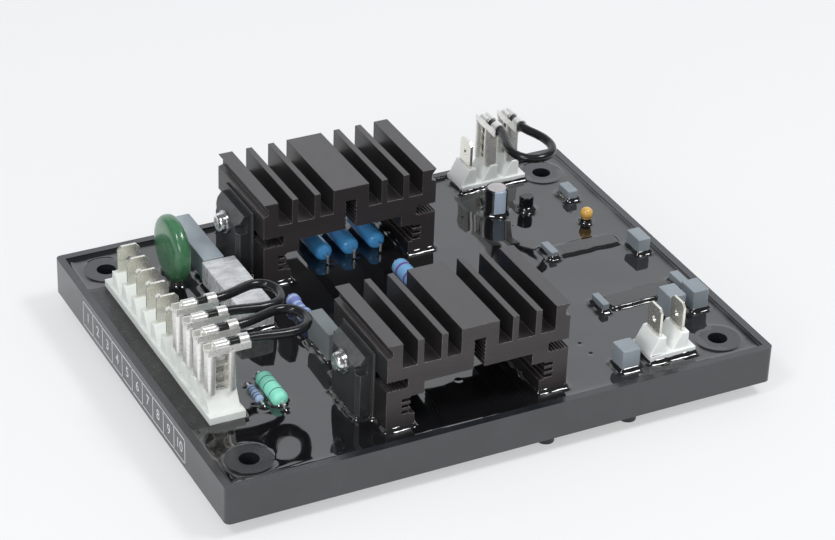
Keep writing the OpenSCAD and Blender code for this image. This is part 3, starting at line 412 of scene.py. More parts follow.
def bevelled_copy(
    node: str,
    finishes: list[Finish],
    corner: Corner | None = Corner.MOULDED,
    pick: Pick | None = None,
    body: str = UNIT_BODY,
) -> Object:
    """Stands a copy of a CAD node, with its edges eased, in the node's place.

    Args:
        node: The CAD node.
        finishes: One finish for each material index.
        corner: How round the edges are, or None to leave them.
        pick: Gives a face's material index from its middle and its normal.
        body: The CAD body that it rides on.

    Returns:
        The piece, which replaces the node.
    """
    bm = bmesh.new()
    bm.from_mesh(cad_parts[node].data)
    bmesh.ops.remove_doubles(bm, verts=bm.verts, dist=1e-6)
    bmesh.ops.dissolve_limit(bm, angle_limit=math.radians(0.5), verts=bm.verts, edges=bm.edges)
    for face in bm.faces:
        face.material_index = pick(face.calc_center_median(), face.normal) if pick else 0
    piece = place_mesh(node + "_piece", bm, finishes, body)
    if corner:
        bevel = piece.modifiers.new("eased_edges", "BEVEL")
        bevel.width = corner.value * MM
        bevel.segments = 2
        bevel.limit_method = "ANGLE"
        bevel.angle_limit = math.radians(40)
        bevel.harden_normals = True
    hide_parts(node)
    log.info("dressed %s", node)
    return piece


def cap(bm: bmesh.types.BMesh, rim: list[bmesh.types.BMVert]) -> None:
    """Closes the opening inside the edges that join the vertices of a rim."""
    among = set(rim)
    bmesh.ops.triangle_fill(bm, edges=[e for e in bm.edges if among.issuperset(e.verts)])


def turned(outline: list[tuple[float, float]], steps: int = 64) -> bmesh.types.BMesh:
    """A solid of revolution about the Z axis.

    Args:
        outline: Radius and height of each point, in millimetres.
        steps: Sides of the turned form.

    Returns:
        The new mesh.
    """
    bm = bmesh.new()
    points = [bm.verts.new(mm(radius, 0, z)) for radius, z in outline]
    edges = [bm.edges.new(pair) for pair in zip(points, points[1:])]
    bmesh.ops.spin(bm, geom=points + edges, axis=(0, 0, 1), cent=(0, 0, 0), steps=steps, angle=math.tau,
                   use_merge=True)
    bmesh.ops.remove_doubles(bm, verts=bm.verts, dist=1e-6)
    bmesh.ops.recalc_face_normals(bm, faces=bm.faces)
    return bm


@dataclass
class StudioCamera:
    """The camera, at the photograph's angle. Places are in millimetres."""

    place: tuple[float, float, float] = (-293.2, -562.72, 413.13)
    right: tuple[float, float, float] = (0.8937, -0.4475, 0.0323)
    up: tuple[float, float, float] = (0.2090, 0.4789, 0.8526)
    lens: float = 117.81
    sensor: float = 36.0

    def build(self) -> None:
        """Makes the camera and the scene's only view."""
        data = bpy.data.cameras.new("studio_camera")
        data.lens = self.lens
        data.sensor_width = self.sensor
        camera = bpy.data.objects.new("studio_camera", data)
        right = Vector(self.right).normalized()
        back = right.cross(Vector(self.up)).normalized()
        up = back.cross(right)
        turn = Matrix((right, up, back)).transposed().to_4x4()
        camera.matrix_world = Matrix.Translation(mm(*self.place)) @ turn
        bpy.context.scene.collection.objects.link(camera)
        bpy.context.scene.camera = camera


@dataclass(frozen=True)
class Lamp:
    """A soft rectangular lamp, aimed at the middle of the part. Lengths are in metres."""

    name: str
    place: tuple[float, float, float]
    size: tuple[float, float]
    power: float

    def build(self) -> None:
        """Hangs the lamp."""
        data = bpy.data.lights.new(self.name, "AREA")
        data.shape = "RECTANGLE"
        data.size, data.size_y = self.size
        data.energy = self.power
        lamp = bpy.data.objects.new(self.name, data)
        lamp.location = self.place
        lamp.rotation_euler = Vector(self.place).to_track_quat("Z", "Y").to_euler()
        bpy.context.scene.collection.objects.link(lamp)


@dataclass
class Studio:
    """Pale floor, even surroundings and soft lamps."""

    floor_half: float = 3.0
    floor_colour: Colour = (0.9, 0.905, 0.91)
    floor_glow: float = 0.5
    backdrop: Colour = (0.93, 0.96, 1.0)
    away: tuple[float, float, float] = (0.465, 0.885, 0.0)
    dim: float = 0.12
    fill: float = 0.58
    sheet_side: tuple[float, float] = (0.5, 0.68)
    sheet_top: tuple[float, float] = (0.62, 0.74)
    lamps: tuple[Lamp, ...] = (
        Lamp("key_lamp", (0.5, -0.34, 1.0), (0.36, 0.24), 4.6),
        Lamp("side_lamp", (-0.66, -0.3, 0.95), (0.24, 0.24), 2.8),
        Lamp("low_lamp", (-0.75, -0.6, 0.38), (0.5, 0.3), 2.5),
    )

    def build(self) -> None:
        """Makes the floor, the world and the lamps."""
        bpy.context.scene.view_settings.view_transform = "Standard"
        self.floor()
        self.world()
        for lamp in self.lamps:
            lamp.build()

    def floor(self) -> None:
        """A large matt sheet under the feet."""
        bm = bmesh.new()
        bmesh.ops.create_grid(bm, x_segments=1, y_segments=1, size=self.floor_half)
        mesh = bpy.data.meshes.new("floor")
        bm.to_mesh(mesh)
        bm.free()
        sheet = bpy.data.objects.new("floor", mesh)
        bpy.context.scene.collection.objects.link(sheet)
        material = bpy.data.materials.new("floor_paper")
        material.use_nodes = True
        material.node_tree.nodes.clear()
        g = Graph(material.node_tree)
        paper = g.add("ShaderNodeBsdfDiffuse", {"Color": (*self.floor_colour, 1.0)}).outputs["BSDF"]
        glow = g.add("ShaderNodeEmission", {"Color": (*self.floor_colour, 1.0)}).outputs["Emission"]
        part = g.math("MULTIPLY", self.seen(g), self.floor_glow)
        shade = g.add("ShaderNodeMixShader", {0: part, 1: paper, 2: glow}).outputs["Shader"]
        g.add("ShaderNodeOutputMaterial", {"Surface": shade})
        mesh.materials.append(material)

    def seen(self, g: Graph) -> Socket:
        """One for rays from the camera, from gloss and through glass; nought for plain light.

        Args:
            g: The graph that gets the nodes.

        Returns:
            The one or nought.
        """
        path = g.add("ShaderNodeLightPath").outputs
        mirrored = g.math("MAXIMUM", path["Is Camera Ray"], path["Is Glossy Ray"])
        return g.math("MAXIMUM", mirrored, path["Is Transmission Ray"])

    def world(self) -> None:
        """Surroundings: even as plain light; in gloss a white sheet beyond the part and a dim room."""
        world = bpy.data.worlds.new("studio")
        bpy.context.scene.world = world
        world.use_nodes = True
        world.node_tree.nodes.clear()
        g = Graph(world.node_tree)
        ray = g.add("ShaderNodeTexCoord").outputs["Generated"]
        kind = "ShaderNodeVectorMath"
        level = g.add(kind, {0: ray, 1: (1.0, 1.0, 0.0)}, operation="MULTIPLY").outputs["Vector"]
        flat = g.add(kind, {0: level}, operation="NORMALIZE").outputs["Vector"]
        turn = g.add(kind, {0: flat, 1: self.away}, operation="DOT_PRODUCT").outputs["Value"]
        high = g.add("ShaderNodeSeparateXYZ", {"Vector": ray}).outputs["Z"]
        ahead = g.span(turn, *self.sheet_side, 0.0, 1.0)
        low = g.span(high, *self.sheet_top, 1.0, 0.0)
        room = g.span(g.math("MULTIPLY", ahead, low), 0.0, 1.0, self.dim, 1.0)
        plain = g.math("MULTIPLY", g.math("SUBTRACT", 1.0, self.seen(g)), self.fill)
        strength = g.math("MULTIPLY_ADD", self.seen(g), room, plain)
        shade = g.add("ShaderNodeBackground", {"Color": (*self.backdrop, 1.0), "Strength": strength})
        g.add("ShaderNodeOutputWorld", {"Surface": shade.outputs["Background"]})


@dataclass
class Tray:
    """The moulded tray and the numbered strip printed on its left wall. Lengths are in millimetres."""

    cells: int = 10
    cell: float = 7.25
    strip_top: float = 13.1
    strip_bottom: float = 5.9
    strip_back: float = 38.6
    line: float = 0.32
    figure_size: float = 4.4
    ink: float = 0.03

    def build(self) -> None:
        """Dresses the tray and prints its strip."""
        bevelled_copy("tray", [Finishes.TRAY], Corner.SOFT)
        self.print_strip()

    def print_strip(self) -> None:
        """Ten outlined cells with plain numbers, as thin ink on the wall."""
        bm = bmesh.new()
        height = self.strip_top - self.strip_bottom
        length = self.cells * self.cell
        for k in range(self.cells + 1):
            self.bar(bm, k * self.cell, height / 2, self.line, height + self.line)
        for v in (0.0, height):
            self.bar(bm, length / 2, v, length + self.line, self.line)
        for k in range(self.cells):
            self.figure(bm, str(k + 1), (k + 0.5) * self.cell, height / 2)
        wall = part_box("tray")[0].x
        turn = Matrix(((0, 0, -1, 0), (-1, 0, 0, 0), (0, 1, 0, 0), (0, 0, 0, 1)))
        shift = Matrix.Translation(Vector((wall, self.strip_back * MM, self.strip_bottom * MM)))
        bmesh.ops.transform(bm, matrix=shift @ turn, verts=bm.verts)
        bmesh.ops.recalc_face_normals(bm, faces=bm.faces)
        piece = place_mesh("strip_print", bm, [Finishes.INK], UNIT_BODY)
        log.info("printed the strip")

    def bar(self, bm: bmesh.types.BMesh, u: float, v: float, wide: float, high: float) -> None:
        """One line of ink, centred at u and v on the strip."""
        size = Matrix.Diagonal((wide * MM, high * MM, self.ink * MM, 1.0))
        bmesh.ops.create_cube(bm, size=1.0, matrix=Matrix.Translation(mm(u, v, 0)) @ size)

    def figure(self, bm: bmesh.types.BMesh, text: str, u: float, v: float) -> None:
        """Adds a plain number, made of ink as thick as the lines.

        Args:
            bm: The strip's mesh.
            text: The number.
            u: Its middle along the strip.
            v: Its middle up the strip.
        """
        curve = bpy.data.curves.new("figure", "FONT")
        curve.body = text
        curve.size = self.figure_size * MM
        curve.extrude = self.ink * MM / 2
        curve.align_x = "CENTER"
        curve.align_y = "CENTER"
        holder = bpy.data.objects.new("figure", curve)
        bpy.context.scene.collection.objects.link(holder)
        bpy.context.view_layer.update()
        mesh = bpy.data.meshes.new_from_object(holder.evaluated_get(bpy.context.evaluated_depsgraph_get()))
        mesh.transform(Matrix.Translation(mm(u, v, 0)))
        bm.from_mesh(mesh)
        bpy.data.objects.remove(holder)
        bpy.data.curves.remove(curve)
        bpy.data.meshes.remove(mesh)


@dataclass
class Footprint:
    """An outline in the resin, a rectangle with round corners. Lengths are in millimetres."""

    x: float
    y: float
    half_x: float
    half_y: float
    radius: float = 0.3
    climb: float = 1.35
    reach: float = 0.62

    def distance(self, px: np.ndarray, py: np.ndarray) -> np.ndarray:
        """How far points are outside the outline.

        Args:
            px: Places along the length.
            py: Places along the width.

        Returns:
            Distances, negative inside.
        """
        dx = np.abs(px - self.x) - (self.half_x - self.radius)
        dy = np.abs(py - self.y) - (self.half_y - self.radius)
        outside = np.hypot(np.maximum(dx, 0), np.maximum(dy, 0))
        return outside + np.minimum(np.maximum(dx, dy), 0) - self.radius


@dataclass
class PottingResin:
    """The poured resin: a wavy mirror that climbs every foot and wall. Lengths are in millimetres."""

    cell: float = 1.0
    fine_cuts: int = 3
    fine_reach: float = 1.3
    level: float = RESIN_LEVEL
    bottom: float = 6.4
    wall_climb: float = 0.7
    wall_reach: float = 0.8
    wave: float = 0.2
    wave_length: float = 18.0
    second_wave: float = 0.35
    second_ratio: float = 2.1
    climb_bend: float = 0.12
    ragged: float = 0.4
    ragged_length: float = 3.1
    pit_deep: float = 0.2
    pit_radius: float = 0.6
    pits: tuple[tuple[float, float], ...] = ((-4.3, -38.9), (33.5, -36.5), (33.8, -42.0))
    mound_high: tuple[float, float] = (0.6, 0.95)
    mound_edge: tuple[float, float] = (1.65, 1.0)
    mound_half: tuple[float, float] = (11.1, 4.0)
    mound_radius: float = 1.8
    channel_climb: float = 0.72
    channel_reach: float = 4.5
    channel_end: float = 41.0
    channel_fade: float = 6.0
    boss: tuple[float, float] = (69.0, 49.5)
    boss_radius: float = 6.3
    boss_cut: float = 4.8
    leg_half: float = 4.1
    rod_end: float = 2.1
    lead_half: float = 0.4
    upright: tuple[str, ...] = ("mains_capacitor", "fuse_cover", "snubber_capacitor", "rear_terminal_block",
                                "side_terminal_block", "insulator_front", "insulator_rear",
                                "power_device_front", "power_device_rear")
    rods: tuple[str, ...] = ("power_resistor_left", "power_resistor_middle", "power_resistor_right",
                             "pale_blue_resistor", "violet_resistor", "mint_resistor", "small_resistor")

    def build(self) -> None:
        """Makes the surface, closes it below and puts it in the CAD solid's place."""
        low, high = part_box("potting_resin")
        bm = self.sheet(low, high)
        points = np.array([v.co[:2] for v in bm.verts]) / MM
        heights = self.height(points[:, 0], points[:, 1], low / MM, high / MM)
        for vert, z in zip(bm.verts, heights):
            vert.co.z = z * MM
        self.mark_skins(bm)
        self.open_bosses(bm)
        rim = [edge for edge in bm.edges if edge.is_boundary]
        made = bmesh.ops.extrude_edge_only(bm, edges=rim)["geom"]
        lower = [v for v in made if isinstance(v, bmesh.types.BMVert)]
        for vert in lower:
            vert.co.z = self.bottom * MM
        cap(bm, lower)
        bmesh.ops.recalc_face_normals(bm, faces=bm.faces)
        piece = place_mesh("potting_resin_piece", bm, [Finishes.RESIN, Finishes.SKIN, Finishes.FILM],
                           UNIT_BODY, smooth=75.0)
        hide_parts("potting_resin")
        log.info("poured the resin")

    def sheet(self, low: Vector, high: Vector) -> bmesh.types.BMesh:
        """A level grid over the tray, finer beside everything that the resin climbs.

        Args:
            low: The lowest corner of the resin.
            high: Its highest corner.

        Returns:
            The new mesh.
        """
        bm = bmesh.new()
        wide, deep = (high.x - low.x), (high.y - low.y)
        steps = (round(wide / self.cell / MM), round(deep / self.cell / MM))
        bmesh.ops.create_grid(bm, x_segments=steps[0], y_segments=steps[1], size=0.5)
        bmesh.ops.scale(bm, vec=(wide, deep, 1.0), verts=bm.verts)
        bmesh.ops.translate(bm, vec=(low + high) / 2, verts=bm.verts)
        middles = np.array([f.calc_center_median()[:2] for f in bm.faces]) / MM
        x, y = middles[:, 0], middles[:, 1]
        walls = [x - low.x / MM, high.x / MM - x, y - low.y / MM, high.y / MM - y]
        feet = [foot.distance(x, y) for foot in self.footprints()]
        mounds = [np.abs(chip.distance(x, y) + edge / 2) for chip, edge in zip(self.chips(), self.mound_edge)]
        mounds += [np.hypot(x - a, y - b) for a, b in self.pits]
        near = np.minimum.reduce(walls + mounds + [np.where(d < -self.cell, 99.0, d) for d in feet])
        picked = [face for face, d in zip(bm.faces, near) if d < self.fine_reach]
        edges = list({e for face in picked for e in face.edges})
        bmesh.ops.subdivide_edges(bm, edges=edges, cuts=self.fine_cuts, use_grid_fill=True)
        return bm

    def mark_skins(self, bm: bmesh.types.BMesh) -> None:
        """Gives the skin over the two packages, and the channel by the long strip, finishes of their own.

        Args:
            bm: The shaped surface.
        """
        middles = np.array([f.calc_center_median()[:2] for f in bm.faces]) / MM
        tops = [chip.distance(middles[:, 0], middles[:, 1]) + edge / 2
                for chip, edge in zip(self.chips(), self.mound_edge)]
        strip = self.boxed("terminal_strip")
        beside = (middles[:, 0] < strip.x) & (np.abs(middles[:, 1] - strip.y) < strip.half_y)
        for face, d, film in zip(bm.faces, np.minimum.reduce(tops), beside):
            face.material_index = 2 if film else int(d < 0)

    def open_bosses(self, bm: bmesh.types.BMesh) -> None:
        """Leaves the four fixing holes open.

        Args:
            bm: The shaped surface.
        """
        reach = self.boss_cut * MM
        for x in (-self.boss[0], self.boss[0]):
            for y in (-self.boss[1], self.boss[1]):
                middle = mm(x, y, 0).xy
                inside = [f for f in bm.faces if (f.calc_center_median().xy - middle).length < reach]
                bmesh.ops.delete(bm, geom=inside, context="FACES")

    def height(self, x: np.ndarray, y: np.ndarray, low: Vector, high: Vector) -> np.ndarray:
        """The height of the surface at each point.

        Args:
            x: Places along the length.
            y: Places along the width.
            low: The lowest corner of the resin.
            high: Its highest corner.

        Returns:
            Heights above the plane of the feet.
        """
        rise = self.waves(x, y)
        wall = np.minimum.reduce([x - low.x, high.x - x, y - low.y, high.y - y])
        climbs = self.wall_climb * np.exp(-np.maximum(wall, 0) / self.wall_reach)
        climbs = np.maximum(climbs, self.channel(x - low.x, y))
        ragged = self.ragged * self.ripple(x, y, self.ragged_length)
        for foot in self.footprints():
            near = np.maximum(foot.distance(x, y) + ragged * min(1.0, foot.climb), 0) / foot.reach
            climbs = np.maximum(climbs, foot.climb * np.exp(-near - self.climb_bend * near * near))
        for chip, tall, edge in zip(self.chips(), self.mound_high, self.mound_edge):
            inside = np.clip(-(chip.distance(x, y) + ragged) / edge, 0, 1)
            rise += tall * inside * inside * (3 - 2 * inside)
        for a, b in self.pits:
            rise -= self.pit_deep * np.exp(-((x - a) ** 2 + (y - b) ** 2) / self.pit_radius**2)
        return self.level + rise + climbs

    def channel(self, wall: np.ndarray, y: np.ndarray) -> np.ndarray:
        """The slope of the resin from the left wall down to the long strip.

        Args:
            wall: Distances from the left wall.
            y: Places along the width.

        Returns:
            Rises above the level, nought away from the strip.
        """
        strip = self.boxed("terminal_strip")
        along = np.clip((self.channel_end - np.abs(y - strip.y)) / self.channel_fade, 0, 1)
        return along * self.channel_climb * np.exp(-np.maximum(wall, 0) / self.channel_reach)

    def waves(self, x: np.ndarray, y: np.ndarray) -> np.ndarray:
        """Slow unevenness of the poured surface."""
        second = self.second_wave * self.ripple(x, y, self.wave_length / self.second_ratio)
        return self.wave * (self.ripple(x, y, self.wave_length) + second)

    def ripple(self, x: np.ndarray, y: np.ndarray, length: float) -> np.ndarray:
        """Smooth noise of a given wave length."""
        return np.array([noise.noise((a / length, b / length, length)) for a, b in zip(x, y)])

    def boxed(self, node: str, climb: float = 1.35, radius: float = 0.4) -> Footprint:
        """The outline of an upright node, from its CAD box.

        Args:
            node: The CAD node.
            climb: How high the resin climbs it.
            radius: How round its corners are.

        Returns:
            The outline.
        """
        low, high = (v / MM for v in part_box(node))
        half = (high - low) / 2
        middle = (high + low) / 2
        return Footprint(middle.x, middle.y, half.x, half.y, min(radius, half.x, half.y), climb)

    def chips(self) -> list[Footprint]:
        """The two packages that lie just under the surface.

        Returns:
            Their outlines, the rear one first.
        """
        found = []
        for node in ("ic_rear", "ic_front"):
            chip = self.boxed(node)
            found.append(Footprint(chip.x, chip.y, *self.mound_half, self.mound_radius))
        return found

    def footprints(self) -> list[Footprint]:
        """Everything that the resin climbs.

        Returns:
            The outlines.
        """
        films = ["film_capacitor_" + key for key in "abcdefgh"]
        found = [self.boxed(node) for node in [*self.upright, *films]]
        found.append(self.boxed("terminal_strip", climb=0.35))
        for node in ("electrolytic_capacitor", "transistor"):
            found.append(self.boxed(node, climb=1.7, radius=9.0))
        for node in ("heat_sink_front", "heat_sink_rear"):
            sink = self.boxed(node)
            for side in (-1, 1):
                x = sink.x + side * (sink.half_x - self.leg_half)
                found.append(Footprint(x, sink.y, self.leg_half, sink.half_y, radius=0.2))
        for node in self.rods:
            found += self.rod(node, lies_deep=node == "mint_resistor")
        disc = self.boxed("varistor")
        found.append(Footprint(disc.x, disc.y, 1.3, 5.0, radius=1.3, climb=2.1, reach=0.8))
        bead = self.boxed("bead_capacitor")
        found.append(Footprint(bead.x, bead.y, 1.1, 1.0, radius=1.0, climb=1.7, reach=0.6))
        wide = self.boss_radius
        for x in (-self.boss[0], self.boss[0]):
            for y in (-self.boss[1], self.boss[1]):
                found.append(Footprint(x, y, wide, wide, radius=wide, climb=0.22, reach=0.8))
        return found

    def rod(self, node: str, lies_deep: bool) -> list[Footprint]:
        """The outlines of a lying resistor and its two leads.

        Args:
            node: The CAD node.
            lies_deep: Whether the resin stands higher on it.

        Returns:
            The body's outline and those of the leads.
        """
        rod = self.boxed(node)
        thin = (0.75 if lies_deep else 0.5) * rod.half_x
        climb = 1.0 if lies_deep else 0.5
        run = rod.half_y - self.rod_end
        found = [Footprint(rod.x, rod.y, thin, run, radius=thin, climb=climb, reach=0.6)]
        lead = self.lead_half
        for side in (-1, 1):
            y = rod.y + side * (rod.half_y - lead)
            found.append(Footprint(rod.x, y, lead, lead, radius=lead, climb=0.7, reach=0.6))
        return found


@dataclass
class HeatSinks:
    """The two cuts of finned extrusion, with what is clamped to them. Lengths are in millimetres."""

    head_high: float = 2.1
    edge_wide: float = 1.0
    edge_high: float = 1.5
    edge_steps: int = 5
    shank: float = 1.4
    recess_half: float = 0.42
    recess_reach: float = 1.45
    recess_deep: float = 1.0
    recess_taper: float = 0.75
    recess_turn: float = 24.0
    square_on: float = 0.9
    sloped: float = 0.3

    def build(self) -> None:
        """Dresses sinks, packages, plates, screws and washers."""
        for end in ("front", "rear"):
            # Index 2, the upward faces, is painted lighter as a sheen from above.
            finishes = [Finishes.ANODISED, Finishes.SAWN, Finishes.TOP_SHEEN_ANODISED, Finishes.WORN]
            sink = bevelled_copy("heat_sink_" + end, finishes, Corner.EXTRUDED, self.facing)
            sink.modifiers["eased_edges"].material = 3
            for node, finish in (("insulator_", Finishes.INSULATOR), ("power_device_", Finishes.PACKAGE)):
                # Index 1, the eased edges, and index 2, the sloping tops, are painted paler as highlights.
                finishes = [finish, Finishes.LIT_EDGE, Finishes.PACKAGE_TOP_SHEEN]
                plate = bevelled_copy(node + end, finishes, Corner.EXTRUDED, self.sloping)
                plate.modifiers["eased_edges"].material = 1
            self.screw("clamp_screw_" + end)
        bevelled_copy("clamp_washers", [Finishes.ZINC], Corner.STAMPED)

    def screw(self, node: str) -> None:
        """A pan-head screw with a cross recess, on the CAD screw's axis.

        Args:
            node: The CAD node.
        """
        low, high = (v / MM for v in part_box(node))
        radius = (high.z - low.z) / 2
        length = high.x - low.x - self.head_high
        flat = radius - self.edge_wide
        outline = [(0, -length), (self.shank, -length), (self.shank, 0), (radius, 0)]
        outline.append((radius, self.head_high - self.edge_high))
        for step in range(1, self.edge_steps + 1):
            turn = math.pi / 2 * step / self.edge_steps
            rise = self.head_high - self.edge_high * (1 - math.sin(turn))
            outline.append((flat + self.edge_wide * math.cos(turn), rise))
        bm = turned(outline, 48)
        self.cross_recess(bm)
        base = mm(low.x + self.head_high, (low.y + high.y) / 2, (low.z + high.z) / 2)
        lean = Matrix.Translation(base) @ Matrix.Rotation(math.radians(-90), 4, "Y")
        bmesh.ops.transform(bm, matrix=lean, verts=bm.verts)
        bmesh.ops.recalc_face_normals(bm, faces=bm.faces)
        piece = place_mesh(node + "_piece", bm, [Finishes.ZINC], UNIT_BODY)
        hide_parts(node)
        log.info("dressed %s", node)

    def cross_recess(self, bm: bmesh.types.BMesh) -> None:
        """Closes the head's open top with a flat that has a cross sunk into it.

        Args:
            bm: The screw, upright.
        """
        rim = [edge for edge in bm.edges if edge.is_boundary]
        a, b = self.recess_half, self.recess_reach
        quarter = [(a, a), (a, b), (-a, b)]
        corner = [Matrix.Rotation(k * math.pi / 2, 2) @ Vector(point) for k in range(4) for point in quarter]
        spin = Matrix.Rotation(math.radians(self.recess_turn), 4, "Z")
        points = [bm.verts.new(spin @ mm(x, y, self.head_high)) for x, y in corner]
        cross = [bm.edges.new((points[k - 1], points[k])) for k in range(len(points))]
        bmesh.ops.triangle_fill(bm, edges=rim + cross, use_beauty=True)
        made = bmesh.ops.extrude_edge_only(bm, edges=cross)["geom"]
        sunk = [v for v in made if isinstance(v, bmesh.types.BMVert)]
        for vert in sunk:
            vert.co = vert.co * self.recess_taper
            vert.co.z = (self.head_high - self.recess_deep) * MM
        cap(bm, sunk)

    def sloping(self, middle: Vector, normal: Vector) -> int:
        """The sloping top of a package gets a paler colour, a painted highlight where it would catch the lamp.
        """
        return 2 if min(-normal.x, normal.z) > self.sloped else 0

    def facing(self, middle: Vector, normal: Vector) -> int:
        """The cut ends have a finish of their own; the upward faces get a lighter, browner anodising, a painted
        sheen from above.
        """
        upward = 2 if normal.z > self.square_on else 0
        return 1 if abs(normal.y) > self.square_on else upward


@dataclass
class Terminals:
    """Nylon blocks, blade tabs and the flag receptacles pushed onto them."""

    receptacles: tuple[str, ...] = ("receptacle_7", "receptacle_8", "receptacle_9", "receptacle_10",
                                    "rear_receptacle_left", "rear_receptacle_right")

    def build(self) -> None:
        """Dresses all three rows."""
        bevelled_copy("terminal_strip", [Finishes.NYLON], Corner.SOFT)
        for row in ("rear_terminal_block", "side_terminal_block"):
            # The blocks get the paler copy of the nylon: painted light against their shade.
            bevelled_copy(row, [Finishes.BLOCK_NYLON_PAINTED_LIGHT], Corner.SOFT)
        for row in ("strip_tabs", "rear_tabs", "side_tabs"):
            bevelled_copy(row, [Finishes.NICKEL], Corner.STAMPED)
        for node in self.receptacles:
            bevelled_copy(node, [Finishes.TIN], Corner.STAMPED)


@dataclass
class Jumpers:
    """Three short loops of insulated wire between receptacles. Lengths are in millimetres."""

    thick: float = 2.6
    level: float = 34.8
    strip: tuple[float, float] = (-67.4, -6.4)
    second: float = -14.0
    straight: float = 8.9
    first_draw: float = 0.925
    block: tuple[float, float] = (55.0, 52.6)
    front_route: tuple[tuple[float, float, float], ...] = (
        (2.6, 0, 0), (8.9, 0, 0), (13.4, 1.2, -0.2), (17.4, 2.7, -0.5), (20.9, 3.6, -0.8),
        (23.8, 3, -1), (25.7, 0.9, -1.1), (26.3, -2, -1.2), (25.3, -4.8, -1.1), (22.8, -6.8, -1),
        (19.4, -7.6, -0.8), (15.4, -7.5, -0.5), (11.9, -7.2, -0.2), (8.9, -7, 0), (2.6, -7, 0),
    )
    rear_route: tuple[tuple[float, float, float], ...] = (
        (2.6, -3.5, 0), (8.8, -3.5, 0), (12.6, -4.5, -0.3), (16, -5.4, -0.6), (19.4, -5.5, -0.9),
        (22.4, -4.2, -1.1), (24.3, -1.5, -1.2), (24.7, 1.8, -1.2), (23.3, 4.8, -1.1), (20.5, 6.6, -0.9),
        (17, 6.7, -0.6), (13.6, 5.6, -0.3), (10.6, 4.2, -0.1), (8.2, 3.5, 0), (2.6, 3.5, 0),
    )

    def build(self) -> None:
        """Lays the three wires."""
        x, y = self.strip
        for node, shift, draw in (("jumper_7_8", 0.0, self.first_draw), ("jumper_9_10", self.second, 1.0)):
            route = [(a + (draw - 1) * max(a - self.straight, 0), b, c) for a, b, c in self.front_route]
            self.wire(node, [mm(x + a, y + shift + b, self.level + c) for a, b, c in route])
        x, y = self.block
        self.wire("rear_jumper", [mm(x + b, y - a, self.level + c) for a, b, c in self.rear_route])

    def wire(self, node: str, route: list[Vector]) -> None:
        """One wire along its route.

        Args:
            node: The CAD node that it replaces.
            route: Points in the row frame.
        """
        curve = bpy.data.curves.new(node + "_piece", "CURVE")
        curve.dimensions = "3D"
        curve.bevel_depth = self.thick * MM / 2
        curve.bevel_resolution = 5
        curve.resolution_u = 6
        curve.use_fill_caps = True
        spline = curve.splines.new("BEZIER")
        spline.bezier_points.add(len(route) - 1)
        for point, at in zip(spline.bezier_points, route):
            point.co = at
            point.handle_left_type = "AUTO"
            point.handle_right_type = "AUTO"
        curve.materials.append(Finishes.WIRE.material())
        piece = bpy.data.objects.new(node + "_piece", curve)
        bpy.context.scene.collection.objects.link(piece)
        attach(piece, UNIT_BODY)
        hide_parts(node)
        log.info("laid %s, %.1f mm", node, spline.calc_length() / MM)


